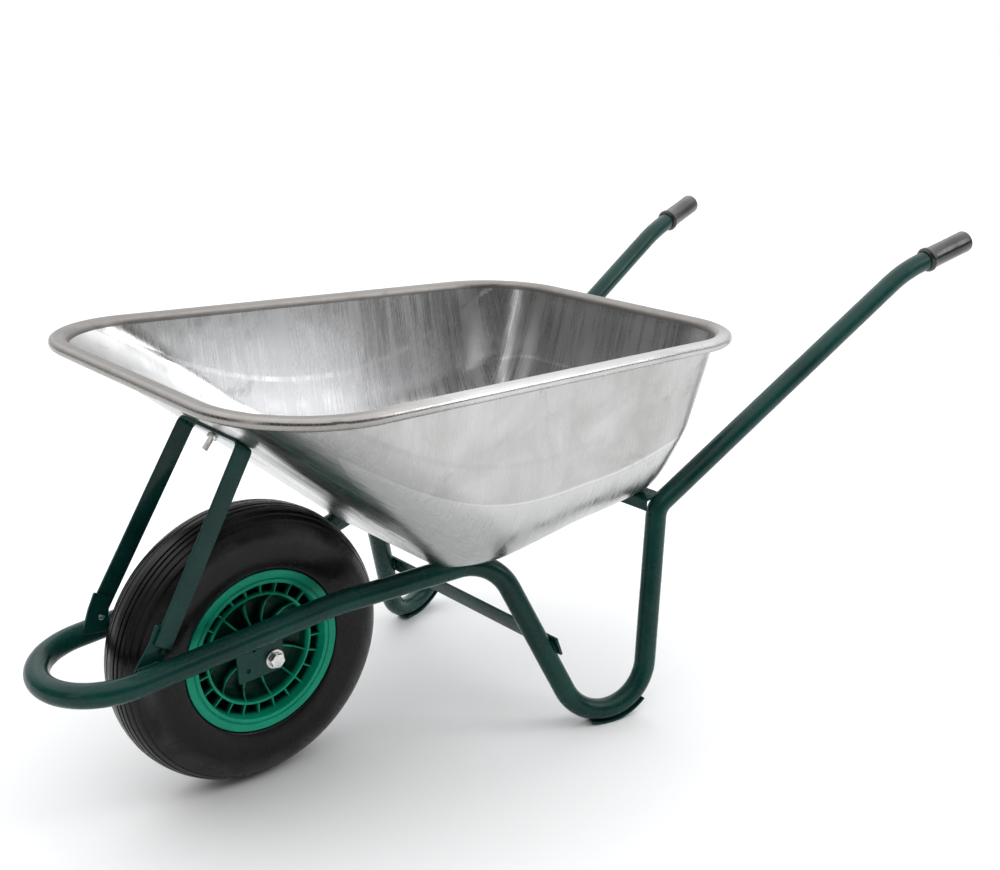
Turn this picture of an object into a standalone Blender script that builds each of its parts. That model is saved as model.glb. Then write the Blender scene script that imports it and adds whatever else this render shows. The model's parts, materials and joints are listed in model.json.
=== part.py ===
"""Steel-tray wheelbarrow with one pneumatic wheel, in metres.

+X points forward to the wheel, +Y to the left hand of a person holding the grips, +Z up. The origin is
on the ground under the middle of the footprint. The frame is one bent tube per side, meeting at the
nose. The wheel turns about the axle bolt, and everything else is fixed to the frame.
"""

import math

import bpy
from mathutils import Vector

GAP = 0.0003

# Wheel and axle
AXLE_X = 0.4773
AXLE_HEIGHT = 0.200
TYRE_RADIUS = 0.200
TYRE_HALF_WIDTH = 0.053
FLANGE_RADIUS = 0.1165
FLANGE_FACE = 0.046
BEAD_SEAT_RADIUS = 0.1015
WEB_HALF = 0.0025
RING_OUTER = 0.0815
RING_INNER = 0.0780
RIB_FACE = 0.036
HUB_RADIUS = 0.021
HUB_HALF = 0.0395
LONG_RIBS = 12
RIB_START = math.radians(20.2)
RIB_THICKNESS = 0.0030
VALVE_ANGLE = RIB_START + math.radians(67.5)
VALVE_Y = -0.012
AXLE_RADIUS = 0.006
BEARING_RADIUS = 0.014
BEARING_WIDTH = 0.010
WHEEL_SIDES = 40

# Frame tube
TUBE_RADIUS = 0.016
TUBE_WALL = 0.0015
TUBE_SIDES = 12
FORK_HALF = 0.088
NOSE_REACH = 0.285
NOSE_HEIGHT = 0.235
SIDE_POINTS = [
    # forward of the axle, left of centre, height, bend radius
    (-0.0863, FORK_HALF, 0.2582, 0.200),
    (-0.3212, 0.1493, 0.2818, 0.077),
    (-0.4900, 0.2870, -0.1642, 0.074),
    (-0.5874, 0.2214, 0.3110, 0.030),
    (-1.1131, 0.2783, 0.6114, 0.276),
]
TUBE_END = (-1.2450, 0.3035, 0.6479)
FOOT_PLATE_THICKNESS = 0.003
FOOT_PLATE_WIDTH = 0.026
FOOT_PLATE_GAP = 0.00087

# Plates and flat bars
PLATE = 0.004
BRACKET_INNER = FORK_HALF - TUBE_RADIUS - GAP - PLATE
BRACKET_OUTER = BRACKET_INNER + PLATE
BAR_WIDTH = 0.025
STRAP_HALF = BRACKET_OUTER + GAP + PLATE / 2
STRAP_FOOT = (0.1575, 0.2725)
RIGHT_LEAN = 0.0170
STRAP_TOP = 0.0200
BRACE_HEIGHT = 0.1290
BRACE_WIDTH = 0.0320
BRACE_HALF = 0.212

# Rear crossmember
CROSSMEMBER_FRONT = -0.5660
CROSSMEMBER_REAR = -0.6000
CROSSMEMBER_HALF = 0.2185
CROSSMEMBER_DROP = 0.018
CROSSMEMBER_THICKNESS = 0.003

# Tray
SHEET = 0.001
RIM_FRONT = 0.1445
RIM_REAR = -0.7368
RIM_HALF_FRONT = 0.3262
RIM_HALF_REAR = 0.2960
RIM_HEIGHT = 0.5995
RIM_SLOPE = 0.0419
RIM_CORNER_FRONT = 0.152
RIM_CORNER_REAR = 0.137
BEAD_RADIUS = 0.007
WALL_INSET = 0.025
WALL_DROP = 0.004
FLOOR_FRONT = -0.2282
FLOOR_REAR = -0.6080
FLOOR_HALF = 0.164
FLOOR_CORNER = 0.040
FLOOR_HEIGHT = 0.2899
FLOOR_SLOPE = -0.110
WALL_FRONT = -0.0753
WALL_REAR = -0.6738
WALL_HALF_FRONT = 0.268
WALL_HALF_REAR = 0.250
WALL_HEIGHT = 0.425
CREASE_HEIGHT = 0.403
CREASE_FRONT = -0.3458
CREASE_REAR = -0.4258
CREASE_KINK = 0.018
FRONT_CREASE_SHARE = 0.44
REAR_BOLT_X = -0.5840
REAR_BOLT_Y = 0.110

# Grips
GRIP_LENGTH = 0.092
GRIP_RADIUS = 0.0185
COLLAR_RADIUS = 0.0208


def clear_scene():
    for obj in list(bpy.data.objects):
        bpy.data.objects.remove(obj, do_unlink=True)


def material(name, colour, roughness, metallic):
    made = bpy.data.materials.new(name)
    made.use_nodes = True
    shader = made.node_tree.nodes["Principled BSDF"]
    shader.inputs["Base Color"].default_value = (*colour, 1.0)
    shader.inputs["Roughness"].default_value = roughness
    shader.inputs["Metallic"].default_value = metallic
    made.diffuse_color = (*colour, 1.0)
    return made


def solid(name, points, faces, look, smooth_angle=35.0, origin=None):
    """One mesh object. Its origin goes to the given point, and its points stay where they are."""
    origin = Vector(origin) if origin is not None else Vector((0.0, 0.0, 0.0))
    faces = outward(points, faces)
    mesh = bpy.data.meshes.new(name)
    mesh.from_pydata([Vector(point) - origin for point in points], [], faces)
    mesh.update()
    mesh.materials.append(look)
    mesh.shade_smooth()
    mesh.set_sharp_from_angle(angle=math.radians(smooth_angle))
    obj = bpy.data.objects.new(name, mesh)
    obj.location = origin
    bpy.context.scene.collection.objects.link(obj)
    return obj


def signed_volume(points, faces):
    total = 0.0
    for face in faces:
        for second, third in zip(face[1:], face[2:]):
            total += points[face[0]].dot(points[second].cross(points[third]))
    return total / 6


def outward(points, faces):
    """The faces of a closed shape, turned so that they face out."""
    return faces if signed_volume(points, faces) > 0 else flipped(faces)


def cut(obj, *shapes):
    """Takes separate shapes out of an object. The cutter stays hidden in the scene."""
    points, faces = merged([(points, outward(points, faces)) for points, faces in shapes])
    mesh = bpy.data.meshes.new(obj.name + "_cutter")
    mesh.from_pydata(points, [], faces)
    cutter = bpy.data.objects.new(mesh.name, mesh)
    cutter.hide_render = True
    cutter.display_type = "WIRE"
    bpy.context.scene.collection.objects.link(cutter)
    modifier = obj.modifiers.new("Cut", "BOOLEAN")
    modifier.operation = "DIFFERENCE"
    modifier.solver = "EXACT"
    modifier.object = cutter


def merged(shapes):
    """Joins separate (points, faces) shapes into one list of each."""
    points, faces = [], []
    for some_points, some_faces in shapes:
        start = len(points)
        points.extend(some_points)
        faces.extend([start + index for index in face] for face in some_faces)
    return points, faces


def at_axle(forward, left, height):
    """A point given forward of the axle, left of the centre plane and above the ground."""
    return Vector((AXLE_X + forward, left, height))


def mirrored(points):
    return [Vector((point[0], -point[1], point[2])) for point in points]


def flipped(faces):
    return [list(reversed(face)) for face in faces]


def rounded_path(points, radii, steps):
    """A polyline through the points, with an arc of the given radius at each inner point."""
    points = [Vector(point) for point in points]
    path = [points[0]]
    for before, corner, after, radius in zip(points, points[1:], points[2:], radii):
        back = (before - corner).normalized()
        ahead = (after - corner).normalized()
        angle = back.angle(ahead)
        reach = radius / math.tan(angle / 2)
        centre = corner + (back + ahead).normalized() * (radius / math.sin(angle / 2))
        first = corner + back * reach - centre
        last = corner + ahead * reach - centre
        turn = first.angle(last)
        count = max(2, round(steps * turn / math.radians(90)))
        for index in range(count + 1):
            share = index / count
            weight_first = math.sin((1 - share) * turn) / math.sin(turn)
            weight_last = math.sin(share * turn) / math.sin(turn)
            path.append(centre + first * weight_first + last * weight_last)
    path.append(points[-1])
    return path


def tangents(path):
    found = []
    for index in range(len(path)):
        before = path[max(index - 1, 0)]
        after = path[min(index + 1, len(path) - 1)]
        found.append((after - before).normalized())
    return found


def strip_faces(rings, count, closed_ends=True):
    """Quads between rings of the same size laid one after another, with an end face on each end."""
    faces = []
    for ring in range(rings - 1):
        for index in range(count):
            step = (index + 1) % count
            low, high = ring * count, (ring + 1) * count
            faces.append([low + index, low + step, high + step, high + index])
    if closed_ends:
        faces.append(list(reversed(range(count))))
        faces.append([(rings - 1) * count + index for index in range(count)])
    return faces


def ring_frames(path, first_tangent=None):
    """Two directions across the path at each point, carried along it without twist."""
    along = tangents(path)
    if first_tangent is not None:
        along[0] = Vector(first_tangent).normalized()
    side = along[0].cross(Vector((0.0, 0.0, 1.0))).normalized()
    frames = []
    for index, direction in enumerate(along):
        if index:
            side = (along[index - 1].rotation_difference(direction) @ side).normalized()
        side = (side - direction * side.dot(direction)).normalized()
        frames.append((side, direction.cross(side)))
    return frames


def tube_shape(path, radius, inner_radius, sides, first_tangent=None):
    """A tube along the path, open at both ends when it has an inner radius."""
    frames = ring_frames(path, first_tangent)
    points = []
    for size in [radius] + ([inner_radius] if inner_radius else []):
        for centre, (side, up) in zip(path, frames):
            for index in range(sides):
                angle = 2 * math.pi * index / sides
                points.append(centre + side * (size * math.cos(angle)) + up * (size * math.sin(angle)))
    rings = len(path)
    if not inner_radius:
        return points, strip_faces(rings, sides)
    outer = strip_faces(rings, sides, closed_ends=False)
    inner = [[index + rings * sides for index in face] for face in flipped(outer)]
    ends = []
    for ring, ahead in ((0, False), (rings - 1, True)):
        for index in range(sides):
            step = (index + 1) % sides
            low, high = ring * sides, (rings + ring) * sides
            face = [low + index, low + step, high + step, high + index]
            ends.append(face if ahead else list(reversed(face)))
    return points, outer + inner + ends


def bar_shape(path, width_directions, width, thickness):
    """A flat bar along the path. Each width direction lies across the bar at that point."""
    points = []
    for centre, direction, across in zip(path, tangents(path), width_directions):
        across = (across - direction * across.dot(direction)).normalized()
        normal = direction.cross(across)
        for side, lift in ((-1, -1), (1, -1), (1, 1), (-1, 1)):
            points.append(centre + across * (side * width / 2) + normal * (lift * thickness / 2))
    return points, strip_faces(len(path), 4)


def lathe_shape(profile, centre, axis, sides):
    """A solid of revolution. The profile holds (radius, distance along the axis), and it either starts
    and ends on the axis or is a closed loop away from it."""
    axis = Vector(axis).normalized()
    side = axis.orthogonal().normalized()
    up = axis.cross(side)
    closed_loop = profile[0][0] > 0
    points, rings = [], []
    for radius, along in profile:
        count = sides if radius > 0 else 1
        rings.append((len(points), count))
        for index in range(count):
            angle = 2 * math.pi * index / sides
            spoke = side * (radius * math.cos(angle)) + up * (radius * math.sin(angle))
            points.append(Vector(centre) + axis * along + spoke)
    if closed_loop:
        rings.append(rings[0])
    faces = []
    for (low, low_count), (high, high_count) in zip(rings, rings[1:]):
        for index in range(sides):
            step = (index + 1) % sides
            if low_count == 1:
                faces.append([low, high + step, high + index])
            elif high_count == 1:
                faces.append([low + index, low + step, high])
            else:
                faces.append([low + index, low + step, high + step, high + index])
    return points, faces


def prism_shape(outline, near, far):
    """A plate across Y with its outline given as (forward of the axle, height)."""
    points = [at_axle(forward, near, height) for forward, height in outline]
    points += [at_axle(forward, far, height) for forward, height in outline]
    return points, strip_faces(2, len(outline))


def cylinder_shape(centre, axis, radius, length, sides):
    """A closed cylinder with the given middle point."""
    half = length / 2
    profile = [(0.0, -half), (radius, -half), (radius, half), (0.0, half)]
    return lathe_shape(profile, centre, axis, sides)


def hexagon_shape(centre, axis, radius, length, bore):
    """A hexagonal nut or bolt head with a round hole of six sides, or none."""
    if not bore:
        return cylinder_shape(centre, axis, radius, length, 6)
    half = length / 2
    return lathe_shape([(bore, -half), (radius, -half), (radius, half), (bore, half)], centre, axis, 6)


def ring_shape(centre, axis, outer, inner, length, sides):
    half = length / 2
    profile = [(inner, -half), (outer, -half), (outer, half), (inner, half)]
    return lathe_shape(profile, centre, axis, sides)


def side_path(steps=6):
    """The centre line of the left frame tube, from the middle of the nose to the end of the handle."""
    centre = NOSE_REACH - FORK_HALF
    rise = (SIDE_POINTS[0][2] - NOSE_HEIGHT) / (SIDE_POINTS[0][0] - NOSE_REACH)
    start = math.asin(GAP / 2 / FORK_HALF)
    nose = []
    for index in range(steps):
        angle = start + (math.pi / 2 - start) * index / steps
        forward = centre + FORK_HALF * math.cos(angle)
        height = NOSE_HEIGHT + rise * (forward - NOSE_REACH)
        nose.append(at_axle(forward, FORK_HALF * math.sin(angle), height))
    corner = at_axle(centre, FORK_HALF, NOSE_HEIGHT + rise * (centre - NOSE_REACH))
    corners = [corner] + [at_axle(*point[:3]) for point in SIDE_POINTS] + [at_axle(*TUBE_END)]
    return nose + rounded_path(corners, [point[3] for point in SIDE_POINTS], steps)


def build_frame_tubes(paint):
    path = side_path()
    points, faces = tube_shape(
        path, TUBE_RADIUS, TUBE_RADIUS - TUBE_WALL, TUBE_SIDES, first_tangent=(0.0, 1.0, 0.0)
    )
    solid("frame_tube_left", points, faces, paint)
    solid("frame_tube_right", mirrored(points), flipped(faces), paint)


def foot_path():
    """The tube's centre line from just ahead of its lowest point to a little way up the rear leg. One
    straight piece of it is centred on the lowest point, so the plate under it stands flat."""
    path = side_path(steps=60)
    lowest = min(range(len(path)), key=lambda index: path[index].z)
    return [path[lowest + offset] for offset in range(-12, 33, 8)]


def build_foot_plates(paint):
    path = foot_path()
    along = tangents(path)
    across = [direction.cross(Vector((0.0, 0.0, 1.0))).normalized() for direction in along]
    reach = TUBE_RADIUS + FOOT_PLATE_GAP + FOOT_PLATE_THICKNESS / 2
    line = [
        point - side.cross(direction).normalized() * reach
        for point, side, direction in zip(path, across, along)
    ]
    points, faces = bar_shape(line, across, FOOT_PLATE_WIDTH, FOOT_PLATE_THICKNESS)
    solid("foot_plate_left", points, faces, paint)
    solid("foot_plate_right", mirrored(points), flipped(faces), paint)


def build_axle_brackets(paint):
    outline = [
        (0.0568, 0.250),
        (-0.0150, 0.254),
        (-0.0150, 0.190),
        (-0.0080, 0.1815),
        (0.0541, 0.1790),
    ]
    holes = [(0.0, 0.200, AXLE_RADIUS + 0.0005), (0.0400, 0.1950, 0.0035), (0.0295, 0.2229, 0.0035)]
    for side, name in ((1, "left"), (-1, "right")):
        points, faces = prism_shape(outline, side * BRACKET_INNER, side * BRACKET_OUTER)
        cutters = [
            cylinder_shape(at_axle(x, side * (BRACKET_INNER + PLATE / 2), z), (0, 1, 0), radius, 0.02, 12)
            for x, z, radius in holes
        ]
        cut(solid("axle_bracket_" + name, points, faces, paint), *cutters)


def build_strap_tabs(paint):
    """The plates that the strap's feet stand against. The right one leans further forward."""
    for side, name in ((1, "left"), (-1, "right")):
        lean = 0.0 if side > 0 else RIGHT_LEAN
        outline = [
            (0.1964 + lean * 0.3, 0.2490),
            (0.1605 + lean * 0.5, 0.2440),
            (0.1400 + lean, 0.2900),
            (0.1610 + lean, 0.3030),
            (0.1721 + lean, 0.2810),
        ]
        points, faces = prism_shape(outline, side * BRACKET_INNER, side * BRACKET_OUTER)
        hole = at_axle(0.1590 + lean * 0.8, side * (BRACKET_INNER + PLATE / 2), 0.2665)
        cutter = cylinder_shape(hole, (0, 1, 0), 0.0045, 0.02, 12)
        cut(solid("strap_tab_" + name, points, faces, paint), cutter)


def front_wall_point(forward):
    """The middle of the tray's sheet on the front wall, in the centre plane."""
    low = at_axle(WALL_FRONT, 0.0, WALL_HEIGHT)
    high = at_axle(RIM_FRONT - WALL_INSET, 0.0, rim_height(RIM_FRONT - WALL_INSET) - WALL_DROP)
    return low.lerp(high, (AXLE_X + forward - low.x) / (high.x - low.x))


def ramp_direction():
    """The direction up the front wall of the tray, in the centre plane."""
    return (front_wall_point(0.1) - front_wall_point(0.0)).normalized()


def wall_normal():
    """The direction out of the tray's front wall, down and forward."""
    ramp = ramp_direction()
    return Vector((ramp.z, 0.0, -ramp.x))


def build_front_strap(paint):
    """An upside-down U of flat bar from the tabs up to the tray's front wall."""
    middle = front_wall_point(STRAP_TOP) + wall_normal() * (SHEET / 2 + GAP + PLATE / 2)
    feet = [
        at_axle(STRAP_FOOT[0], STRAP_HALF, STRAP_FOOT[1]),
        at_axle(STRAP_FOOT[0] + RIGHT_LEAN, -STRAP_HALF, STRAP_FOOT[1]),
    ]
    tops = [Vector((middle.x, side * STRAP_HALF, middle.z)) for side in (1, -1)]
    path = rounded_path([feet[0], tops[0], tops[1], feet[1]], [0.008, 0.008], 4)
    legs = [(top - foot).normalized() for foot, top in zip(feet, tops)]
    across = []
    for point, direction in zip(path, tangents(path)):
        leg = legs[0] if point.y > 0 else legs[1]
        upright = Vector((leg.z, 0.0, -leg.x))
        across.append(upright.lerp(ramp_direction(), abs(direction.y)))
    points, faces = bar_shape(path, across, BAR_WIDTH, PLATE)
    strap = solid("front_strap", points, faces, paint)
    cut(strap, cylinder_shape(middle, wall_normal(), 0.0045, 0.03, 12))


def build_leg_brace(paint):
    """A straight flat bar across the backs of the front legs."""
    top, foot = at_axle(*SIDE_POINTS[1][:3]), at_axle(*SIDE_POINTS[2][:3])
    leg = Vector((foot.x - top.x, 0.0, foot.z - top.z)).normalized()
    back = Vector((leg.z, 0.0, -leg.x))
    share = (top.z - BRACE_HEIGHT) / (top.z - foot.z)
    middle = top.lerp(foot, share) + back * (TUBE_RADIUS + GAP + PLATE / 2)
    path = [Vector((middle.x, side * BRACE_HALF, middle.z)) for side in (-1, 1)]
    points, faces = bar_shape(path, [leg, leg], BRACE_WIDTH, PLATE)
    solid("leg_brace", points, faces, paint)


def build_rear_crossmember(paint):
    """A steel angle between the tubes, with each end cut to fit round its tube. The tray's floor rests
    on its flat top."""
    front, rear = CROSSMEMBER_FRONT, CROSSMEMBER_REAR
    inner_front = front - CROSSMEMBER_THICKNESS
    top_front = floor_height(front) - SHEET / 2 - GAP
    top_rear = floor_height(rear) - SHEET / 2 - GAP
    outline = [
        (front, top_front),
        (rear, top_rear),
        (rear, top_rear - CROSSMEMBER_THICKNESS),
        (inner_front, top_front - CROSSMEMBER_THICKNESS),
        (inner_front, top_front - CROSSMEMBER_DROP),
        (front, top_front - CROSSMEMBER_DROP),
    ]
    points, faces = prism_shape(outline, -CROSSMEMBER_HALF, CROSSMEMBER_HALF)
    member = solid("rear_crossmember", points, faces, paint)
    holes = [
        cylinder_shape(rear_bolt_point(side), floor_normal(), 0.0045, 0.03, 12)
        for side in (1, -1)
    ]
    left_tube = tube_shape(side_path(), TUBE_RADIUS + GAP, 0.0, TUBE_SIDES, first_tangent=(0.0, 1.0, 0.0))
    right_tube = mirrored(left_tube[0]), flipped(left_tube[1])
    cut(member, *holes, left_tube, right_tube)


def rim_height(forward):
    """Height of the middle of the rolled rim at a distance forward of the axle."""
    return RIM_HEIGHT + RIM_SLOPE * (forward - RIM_FRONT)


def floor_height(forward):
    """Height of the middle of the floor's sheet at a distance forward of the axle."""
    return FLOOR_HEIGHT + FLOOR_SLOPE * (forward - FLOOR_FRONT)


def rounded_section(front, rear, half_front, half_rear, radius_front, radius_rear, height, steps=6):
    """A closed ring round the tray, anticlockwise from above. Its height is a function of the distance."""
    corners = [
        (front, half_front, radius_front, 0.0),
        (rear, half_rear, radius_rear, 90.0),
        (rear, -half_rear, radius_rear, 180.0),
        (front, -half_front, radius_front, 270.0),
    ]
    ring = []
    for forward, left, radius, first in corners:
        centre_x = forward - math.copysign(radius, forward - (front + rear) / 2)
        centre_y = left - math.copysign(radius, left)
        for index in range(steps + 1):
            angle = math.radians(first + 90.0 * index / steps)
            x = centre_x + radius * math.cos(angle)
            ring.append(at_axle(x, centre_y + radius * math.sin(angle), height(x)))
    return ring


def rim_section(outset, lift):
    """A ring that follows the rim's edge, moved outwards and up."""
    return rounded_section(
        RIM_FRONT + outset,
        RIM_REAR - outset,
        RIM_HALF_FRONT + outset,
        RIM_HALF_REAR + outset,
        RIM_CORNER_FRONT + outset,
        RIM_CORNER_REAR + outset,
        lambda forward: rim_height(forward) + lift,
    )


def smooth_step(value, low, high):
    """0 up to low, 1 from high on, and a smooth rise between them."""
    share = min(max((value - low) / (high - low), 0.0), 1.0)
    return share * share * (3 - 2 * share)


def crease_height(forward):
    """Height of the side walls' crease at a distance forward of the axle. It is level amidships."""
    ahead = max(0.0, forward - CREASE_FRONT)
    behind = max(0.0, CREASE_REAR - forward)
    return CREASE_HEIGHT + 1.1 * ahead**2 + 0.76 * behind**2


def crease_share(foot, top):
    """How far up the wall from its foot to its top the crease lies."""
    low, high = 0.05, 0.90
    for _ in range(20):
        middle = (low + high) / 2
        point = foot.lerp(top, middle)
        if point.z < crease_height(point.x - AXLE_X):
            low = middle
        else:
            high = middle
    return low


def wall_column(low, level, high, frontness, steps):
    """One line up the tray: a curve from the floor's edge to the crease, then the straight wall's top.
    Frontness is 1 on the front wall and 0 on the others."""
    foot = level + (level - high) * ((level.z - low.z) / (high.z - level.z))
    share = crease_share(foot, high)
    share += (FRONT_CREASE_SHARE - share) * smooth_step(frontness, 0.3, 0.8)
    crease = foot.lerp(high, share)
    kink = CREASE_KINK * (1 - smooth_step(frontness, 0.2, 0.7))
    pull = foot + (low - foot).normalized() * kink
    fullness = 1 + 0.9 * (1 - smooth_step(low.x - AXLE_X, -0.58, -0.40))
    column = []
    for index in range(steps):
        t = index / steps
        weights = ((1 - t) ** 2, 2 * fullness * t * (1 - t), t**2)
        column.append((low * weights[0] + pull * weights[1] + crease * weights[2]) / sum(weights))
    return column + [crease, high]


def tray_rings():
    """Rings of the tray's sheet from the floor, up the walls, over the flange and round the bead.
    The first ring lies just inside the floor's edge, so that the floor between them stays flat."""
    floor = rounded_section(
        FLOOR_FRONT, FLOOR_REAR, FLOOR_HALF, FLOOR_HALF, FLOOR_CORNER, FLOOR_CORNER, floor_height
    )
    level = rounded_section(
        WALL_FRONT, WALL_REAR, WALL_HALF_FRONT, WALL_HALF_REAR, 0.130, 0.100, lambda forward: WALL_HEIGHT
    )
    top = rim_section(-WALL_INSET, -WALL_DROP)
    turn = [index / 6 for index in range(7)]
    frontness = list(reversed(turn)) + [0.0] * 14 + turn
    columns = [wall_column(*places, steps=4) for places in zip(floor, level, top, frontness)]
    middle = sum(floor, Vector()) / len(floor)
    rings = [[point.lerp(middle, 0.02) for point in floor]]
    rings += [list(ring) for ring in zip(*columns)]
    rings += [rim_section(0.0015 - WALL_INSET, 0.003), rim_section(0.0065 - WALL_INSET, BEAD_RADIUS)]
    for degrees in (90, 45, 0, -45, -90, -130):
        angle = math.radians(degrees)
        outset = BEAD_RADIUS * (math.cos(angle) - 1)
        rings.append(rim_section(outset, BEAD_RADIUS * math.sin(angle)))
    return rings


def build_tray(steel):
    rings = tray_rings()
    count = len(rings[0])
    points = [point for ring in rings for point in ring]
    faces = strip_faces(len(rings), count, closed_ends=False)
    faces.append(list(reversed(range(count))))
    tray = solid("tray", points, faces, steel, smooth_angle=50.0)
    thickness = tray.modifiers.new("Sheet", "SOLIDIFY")
    thickness.thickness = SHEET
    thickness.offset = 0.0
    thickness.use_even_offset = True
    holes = [
        cylinder_shape(rear_bolt_point(side), floor_normal(), 0.0045, 0.03, 12)
        for side in (1, -1)
    ]
    holes.append(cylinder_shape(front_wall_point(STRAP_TOP), wall_normal(), 0.0045, 0.02, 12))
    cut(tray, *holes)


def build_tray_bolts(zinc):
    """Cup-head bolts from inside the tray, each with a nut under its bar."""
    under_front = SHEET + GAP + PLATE
    under_rear = SHEET + GAP + 0.003
    places = [
        ("front", front_wall_point(STRAP_TOP), wall_normal(), under_front, 0.030),
        ("rear_left", rear_bolt_point(1), floor_normal(), under_rear, 0.022),
        ("rear_right", rear_bolt_point(-1), floor_normal(), under_rear, 0.022),
    ]
    for name, place, down, stack, length in places:
        seat = -SHEET / 2 - 2 * GAP
        profile = [
            (0.0, seat - 0.0045),
            (0.005, seat - 0.0038),
            (0.0085, seat - 0.0018),
            (0.0095, seat),
            (0.0040, seat),
            (0.0040, seat + length),
            (0.0, seat + length),
        ]
        solid("tray_bolt_" + name, *lathe_shape(profile, place, down, 16), zinc)
        middle = place + down * (-SHEET / 2 + stack + 3 * GAP + 0.0033)
        solid("tray_nut_" + name, *hexagon_shape(middle, down, 0.0075, 0.0065, 0.0048), zinc)


def floor_normal():
    """The direction down out of the tray's floor."""
    return Vector((FLOOR_SLOPE, 0.0, -1.0)).normalized()


def rear_bolt_point(side):
    return at_axle(REAR_BOLT_X, side * REAR_BOLT_Y, floor_height(REAR_BOLT_X))


def build_grips(plastic):
    path = side_path()
    end = path[-1]
    direction = (end - path[-2]).normalized()
    profile = [
        (0.0, 0.006),
        (GRIP_RADIUS - 0.003, 0.006),
        (GRIP_RADIUS, 0.003),
        (GRIP_RADIUS, 0.010 - GRIP_LENGTH),
        (COLLAR_RADIUS, 0.009 - GRIP_LENGTH),
        (COLLAR_RADIUS, 0.003 - GRIP_LENGTH),
        (GRIP_RADIUS, -GRIP_LENGTH),
        (TUBE_RADIUS + GAP, -GRIP_LENGTH),
        (TUBE_RADIUS + GAP, GAP),
        (0.0, GAP),
    ]
    points, faces = lathe_shape(profile, end, direction, 20)
    solid("grip_left", points, faces, plastic)
    solid("grip_right", mirrored(points), flipped(faces), plastic)


def wheel_centre():
    return at_axle(0.0, 0.0, AXLE_HEIGHT)


def both_sides(half_profile):
    """A profile given for +Y, from the tyre side round to the hub, with its mirror image before it."""
    return [(radius, -along) for radius, along in reversed(half_profile)] + half_profile


def wedge_shape(angle, half_angle, inner, outer_low, outer_high, low, high, turns):
    """A pocket between two ribs, wider in radius at its mouth. Its sides stay parallel to the ribs."""
    points = []
    for along, outer in ((low, outer_low), (high, outer_high)):
        corners = [(inner, -1)] + [(outer, turn) for turn in turns] + [(inner, 1)]
        for radius, turn in corners:
            spin = angle + turn * (half_angle - RIB_THICKNESS / 2 / radius)
            points.append(
                wheel_centre() + Vector((radius * math.cos(spin), along, radius * math.sin(spin)))
            )
    return points, strip_faces(2, len(turns) + 2)


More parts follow.
